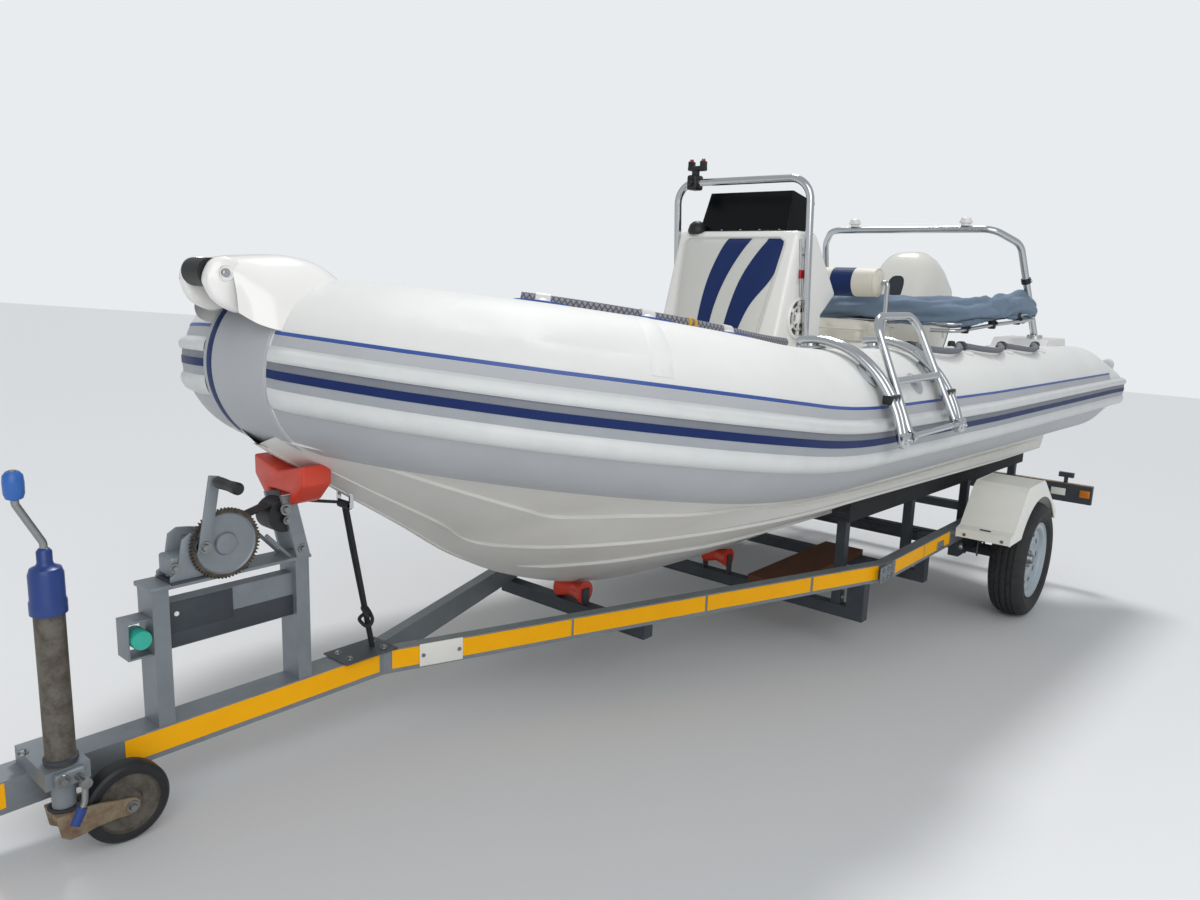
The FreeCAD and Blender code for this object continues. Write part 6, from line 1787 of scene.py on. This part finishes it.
@dataclass(frozen=True)
class Jockey:
    """Jockey wheel beside the drawbar."""

    at: Vector = Vector((4.090, 0.115, 0))
    wheel: Vector = Vector((3.965, 0.115, 0.3683))

    def build(self):
        """Make the tube's fittings, fork and wheel."""
        self.tube()
        self.fork()
        self.roller()

    def tube(self):
        """Worn tube, cap with its neck, rings, bent rod, knob and clamp."""
        form = Form()
        form.lathe([(0.0245, 0.470), (0.030, 0.470), (0.0302, 0.600), (0.030, 0.700), (0.0302, 0.868),
                    (0.030, 0.870)], self.at, UP, RUST, 48)
        form.lathe([(0.0300, 0.856), (0.0362, 0.858), (0.0362, 0.884), (0.0340, 0.890), (0.0340, 0.944),
                    (0.0300, 0.956),
                    (0.0180, 0.962), (0.0150, 0.968), (0.0150, 0.992), (0.0105, 0.998), (0.0082, 0.999)], self.at, UP,
                    BLUE_PLASTIC, 40)
        form.lathe([(0.0302, 0.520), (0.0345, 0.522), (0.0345, 0.530), (0.0302, 0.532)], self.at, UP, DARK_ZINC, 36)
        rod = [self.at + Vector((0, 0, 0.968)), self.at + Vector((0, 0, 1.010)), self.at + Vector((0.045, 0, 1.100)),
               self.at + Vector((0.045, 0, 1.170))]
        form.tube(rod, 0.0078, DULL_STEEL, 16, 0.02)
        form.lathe([(0.0080, 1.108), (0.0160, 1.112), (0.0195, 1.122), (0.0200, 1.146), (0.0185, 1.160),
                    (0.0120, 1.168), (0, 1.169)], self.at + Vector((0.045, 0, 0)), UP, KNOB_BLUE, 28)
        form.finish("jockey_column", "jockey_tube", slot="worn_steel")
        clamp = Form()
        for z in (0.478, 0.500):
            clamp.lathe([(0.0304, z), (0.0372, z), (0.0372, z + 0.012), (0.0304, z + 0.012)], self.at, UP, ZINC, 36)
        clamp.box((4.060, 0.1500, 0.480), (4.120, 0.1660, 0.512), ZINC, 0.004)
        clamp.bolt((4.105, 0.166, 0.496), (0, 1, 0), DULL_STEEL, 0.009)
        clamp.bolt((4.045, 0.020, 0.5165), (0, 0, 1), DULL_STEEL, 0.008)
        clamp.bolt((4.135, 0.020, 0.5165), (0, 0, 1), DULL_STEEL, 0.008)
        clamp.lathe([(0.008, 0), (0.008, 0.030), (0.012, 0.034), (0.012, 0.046), (0, 0.047)], (4.075, 0.166, 0.496),
                    (0, 1, 0), DULL_STEEL, 20)
        clamp.tube([(4.075, 0.203, 0.496), (4.080, 0.207, 0.455), (4.100, 0.210, 0.420)], 0.0065, DULL_STEEL, 12,
                   0.02)
        clamp.tube([(4.086, 0.2085, 0.445), (4.104, 0.2105, 0.412)], 0.0105, BLUE_PLASTIC, 14)
        clamp.finish("clamp_lever", slot="galvanised")

    def fork(self):
        """Two curved cheeks under a crown."""
        form = Form()
        side = [(4.120, 0.409), (4.064, 0.409), (4.030, 0.405), (3.990, 0.394), (3.958, 0.388), (3.947, 0.376),
                (3.946, 0.362),
                (3.956, 0.351), (3.972, 0.3495), (4.000, 0.352), (4.040, 0.352), (4.070, 0.347), (4.095, 0.346),
                (4.112, 0.358)]
        for low, high in ((0.146, 0.154), (0.076, 0.084)):
            form.prism(side, low, high, RUSTY_ARM, 0.0025)
        form.box((4.060, 0.084, 0.397), (4.120, 0.146, 0.409), RUSTY_ARM, 0.002)
        form.box((4.078, 0.084, 0.350), (4.094, 0.146, 0.398), RUSTY_ARM, 0.002)
        form.lathe([(0.0055, -0.031), (0.0055, 0.031)], self.wheel, (0, 1, 0), DULL_STEEL, 20)
        for sign in (1, -1):
            form.bolt(self.wheel + Vector((0, sign * 0.039, 0)), (0, sign, 0), DULL_STEEL, 0.009)
        form.lathe([(0.032, 0.4095), (0.034, 0.4125), (0.028, 0.4150)], self.at, UP, DARK_ZINC, 32)
        form.finish("jockey_arms", "jockey_fork", slot="worn_steel", body="jockey_swivel")

    def roller(self):
        """Solid wheel with a worn tread and a dished steel hub."""
        form = Form()
        half = ((0.0080, 0.0245), (0.014, 0.0248), (0.018, 0.0240), (0.028, 0.0245), (0.034, 0.0140), (0.050, 0.0120),
                (0.066, 0.0145), (0.070, 0.0225), (0.074, 0.0246), (0.087, 0.0244), (0.093, 0.0190), (0.0948, 0.0120),
                (0.0948, 0.0))
        profile = [(r, -a) for r, a in half] + [(r, a) for r, a in reversed(half[:-1])]
        strips = []
        for number in range(len(profile) - 1):
            depth = min(number, len(profile) - 2 - number)
            strips.append(RUST if depth < 7 else BLACK_PU)
        form.lathe(profile, self.wheel, (0, 1, 0), strips, 60)
        form.finish("jockey_tyre", "jockey_wheel", slot="worn_steel", body="jockey_roller", sharp=32, weld=True)


@dataclass(frozen=True)
class Winch:
    """Winch, straps and the fittings of its posts."""

    drum: Vector = Vector((3.667, 0, 0.909))

    def build(self):
        """Make every piece."""
        self.winch()
        self.posts()
        self.straps()

    def winch(self):
        """Cast frame, toothed gear, drum with its strap and the flat crank."""
        form = Form()
        cheek = [(3.606, 0.830), (3.802, 0.830), (3.802, 0.846), (3.784, 0.858), (3.770, 0.935), (3.748, 0.948),
                 (3.716, 0.944), (3.690, 0.938), (3.650, 0.936), (3.632, 0.922), (3.620, 0.860), (3.606, 0.846)]
        for low, high in ((0.0335, 0.0405), (-0.0405, -0.0335)):
            form.prism(cheek, low, high, ZINC, 0.002)
        form.box((3.606, -0.046, 0.8282), (3.802, 0.046, 0.8345), DARK_ZINC, 0.002)
        form.box((3.740, -0.034, 0.842), (3.798, 0.034, 0.894), ZINC, 0.008, 3)
        teeth = 60
        rings = {"root": [], "tip": []}
        for name, depth in (("root", 0.0455), ("tip", 0.0545)):
            for k in range(teeth * 4):
                turn = 2 * math.pi * k / (teeth * 4)
                radius = 0.0905 if k % 4 in (1, 2) else 0.0845
                rings[name].append(self.drum + Vector((math.cos(turn) * radius, depth, math.sin(turn) * radius)))
        inner = [[self.drum + Vector((math.cos(t) * r, y, math.sin(t) * r)) for t in
                  (2 * math.pi * k / (teeth * 4) for k in range(teeth * 4))]
                 for r, y in ((0.078, 0.0545), (0.074, 0.0505), (0.030, 0.0505), (0.026, 0.058), (0.012, 0.060),
                       (0.00001, 0.060))]
        back = [[self.drum + Vector((math.cos(t) * r, 0.0455, math.sin(t) * r)) for t in
                 (2 * math.pi * k / (teeth * 4) for k in range(teeth * 4))] for r in (0.012,)]
        form.grid([back[0], rings["root"], rings["tip"], inner[0]], GEAR, closed=True)
        form.grid(inner, ZINC, closed=True)
        form.lathe([(0.028, -0.0335), (0.034, -0.0325), (0.034, 0.0325), (0.028, 0.0335)], self.drum, (0, 1, 0),
                   STRAP, 36)
        shaft = Vector((3.732, 0, 0.917))
        form.lathe([(0, 0.092), (0.009, 0.091), (0.010, 0.086), (0.010, -0.046), (0, -0.046)], shaft, (0, 1, 0),
                   DULL_STEEL, 24)
        form.lathe([(0.014, 0.042), (0.019, 0.043), (0.019, 0.062), (0.014, 0.063)], shaft, (0, 1, 0), DARK_ZINC, 16)
        arm = Matrix.Translation((3.7320, 0.0755, 0.9170)) @ Matrix.Rotation(math.atan2(-0.030, 0.161), 4, "Y")
        form.box((-0.0150, -0.0040, -0.0160), (0.0150, 0.0040, 0.1760), ZINC, 0.003, turn=arm)
        form.bolt(shaft + Vector((0, 0.0795, 0)), (0, 1, 0), DULL_STEEL, 0.010)
        grip = Vector((3.702, 0.0, 1.078))
        form.lathe([(0, 0.078), (0.0075, 0.078), (0.0075, 0.092), (0.0135, 0.096), (0.0145, 0.110), (0.0130, 0.150),
                    (0.0150, 0.180), (0.0150, 0.192), (0.0100, 0.199), (0, 0.199)], grip, (0, 1, 0),
                   [DULL_STEEL, DULL_STEEL, BLACK, BLACK, BLACK, BLACK, BLACK, BLACK, BLACK], 24)
        for x in (3.630, 3.778):
            for y in (-0.020, 0.020):
                form.bolt((x, y, 0.8345), (0, 0, 1), DULL_STEEL, 0.006)
        form.bolt((3.790, 0.0405, 0.868), (0, 1, 0), DULL_STEEL, 0.008)
        form.finish("strap_winch", "winch", slot="galvanised", sharp=30)

    def posts(self):
        """Caps, plates, braces, bolts and the bracket with its sleeve."""
        form = Form()
        form.box((3.470, 0.0202, 0.662), (3.808, 0.0222, 0.718), DARK_ZINC, 0.001)
        form.box((3.640, 0.0222, 0.700), (3.8075, 0.0240, 0.778), DARK_ZINC, 0.001)
        form.lathe([(0, 0.0015), (0.006, 0.0015), (0.006, 0)], (3.785, 0.0240, 0.748), (0, 1, 0), PLATE, 16)
        form.box((3.802, -0.046, 0.8205), (3.854, 0.046, 0.8315), ZINC, 0.003)
        for sign in (1, -1):
            form.bolt((3.497, sign * 0.0452, 0.965), (0, sign, 0), DULL_STEEL, 0.010)
            form.bolt((3.495, sign * 0.0452, 0.935), (0, sign, 0), DULL_STEEL, 0.007)
            form.bolt((3.452, sign * 0.0452, 0.850), (0, sign, 0), DULL_STEEL, 0.008)
            form.tube([(3.478, sign * 0.028, 0.828), (3.545, sign * 0.028, 0.900)], 0.005, ZINC, 10)
        bracket = [(3.849, 0.755), (3.905, 0.755), (3.905, 0.660), (3.849, 0.660), (3.849, 0.665), (3.900, 0.665),
                   (3.900, 0.750), (3.849, 0.750)]
        form.prism(bracket, -0.030, 0.030, ZINC, 0.001)
        form.lathe([(0, 0.022), (0.0225, 0.022), (0.0240, 0.018), (0.0240, -0.030), (0, -0.030)],
                   (3.874, 0.016, 0.7075), (0, 1, 0), TEAL, 28)
        form.finish("post_details", slot="galvanised")
        block = Form()
        block.prism([(0.050, 0.975), (0.070, 0.985), (0.120, 1.035), (0.120, 1.090), (0.0, 1.060), (-0.120, 1.090),
                     (-0.120, 1.035), (-0.070, 0.985), (-0.050, 0.975), (-0.050, 1.008), (0.050, 1.008)], 3.405,
                     3.490, ORANGE_PU, 0.006, 3, axis="X")
        block.finish("vee_block", "bow_chock", slot="red_rubber")

    def straps(self):
        """Winch strap and tie-down with its knot."""
        form = Form()
        web = curve([(3.668, 0.9405), (3.600, 0.957), (3.532, 0.975), (3.506, 0.9885), (3.494, 0.9895),
                     (3.482, 0.9870), (3.400, 0.967), (3.330, 0.952), (3.292, 0.9435)], 5)
        rows = []
        for x, z in web:
            rows.append([(x, y, z + 0.0008 * math.sin(y * 300)) for y in (-0.0245, -0.012, 0.0, 0.012, 0.0245)]
                        + [(x, y, z - 0.0025) for y in (0.0245, 0.0, -0.0245)])
        form.grid(rows, STRAP, closed=True, caps=True)
        form.lathe([(0.0085, -0.025), (0.0115, -0.0245), (0.0115, 0.0245), (0.0085, 0.025)], (3.286, 0, 0.935),
                   (0, 1, 0), STRAP, 24)
        for y in (-0.008, 0.008):
            form.tube([(3.285, y, 0.925), (3.262, y * 1.1, 0.800), (3.205, y * 0.7, 0.505), (3.2005, y * 0.5, 0.478)],
                      0.0055, BLACK_ROPE, 12, 0.2, lengthwise=40)
        knot = [(3.226, 0.018, 0.600), (3.214, -0.016, 0.585), (3.232, -0.018, 0.570), (3.230, 0.020, 0.558),
                (3.210, 0.016, 0.575), (3.212, -0.010, 0.605), (3.236, 0.004, 0.612), (3.226, 0.022, 0.585)]
        form.sweep(curve(knot, 6), 0.0055, BLACK_ROPE, 10, lengthwise=40)
        form.finish("winch_strap", "straps", slot="webbing", sharp=60)


def dress_nodes():
    """Give every CAD node that stays a finish of its own."""
    finishes = {
        "hull": GELCOAT, "transom": GELCOAT, "bow_locker": GELCOAT, "bow_moulding": MOULDING, "bow_roller": BLACK_PU,
        "console": MOULDING, "windscreen": SCREEN, "console_rail": STAINLESS, "speakers": MOULDING,
        "helm_controls": BLACK, "steering_wheel": BLACK, "console_backrest": PAD, "seat_boxes": MOULDING,
        "seat_cushions": VINYL, "seat_rail": STAINLESS, "backrest_bolster": VINYL, "arch": STAINLESS,
        "arch_lights": MOULDING, "stern_pods": MOULDING, "canopy": CANVAS, "motor_bracket": ENGINE,
        "motor_swivel": ENGINE, "motor_cowl": COWL, "motor_leg": COWL, "propeller": ENGINE, "ladder_rails": STAINLESS,
        "ladder_fold": STAINLESS, "lifelines": ROPE, "bow_line": ROPE, "side_rails": ZINC, "drawbar": ZINC,
        "cross_beams": DARK_ZINC, "keel_rollers": ORANGE_PU, "plank": TIMBER, "axle": DARK_ZINC, "tyre_port": TYRE,
        "tyre_starboard": TYRE, "rim_port": RIM, "rim_starboard": RIM, "jockey_tube": RUST, "jockey_clamp": ZINC,
        "jockey_leg": ZINC, "jockey_fork": RUSTY_ARM, "jockey_wheel": RUST, "coupler": ZINC, "winch_posts": ZINC,
        "stop_roller": BLACK_PU, "bow_chock": ORANGE_PU, "winch": ZINC, "bow_eye": STAINLESS, "straps": STRAP,
        "bunks": CARPET, "mudguards": GUARD, "light_board": DARK_ZINC,
    }
    for name, finish in finishes.items():
        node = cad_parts[name]
        node.data.materials.clear()
        node.data.materials.append(Shader.of(finish))
        if name not in ("tube_port", "tube_starboard", "tube_bow", "hull", "windscreen"):
            edges = node.modifiers.new("edges", "BEVEL")
            edges.width = 0.0022
            edges.segments = 2
            edges.limit_method = "ANGLE"
            edges.angle_limit = math.radians(42)
            edges.use_clamp_overlap = True
            edges.harden_normals = False


def main():
    """Build the whole scene."""
    logging.basicConfig(level=logging.INFO, format="%(message)s")
    noise.seed_set(NOISE_SEED)
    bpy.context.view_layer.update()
    dress_nodes()
    parts = (Studio(), Collar(), Hull(), BowMoulding(), Console(), Seats(), Stern(), Canopy(), Motor(), Ladder(),
             Ropes(), TrailerFrame(), Wheels(), Jockey(), Winch())
    for part in parts:
        part.build()


if __name__ == "__main__":
    main()
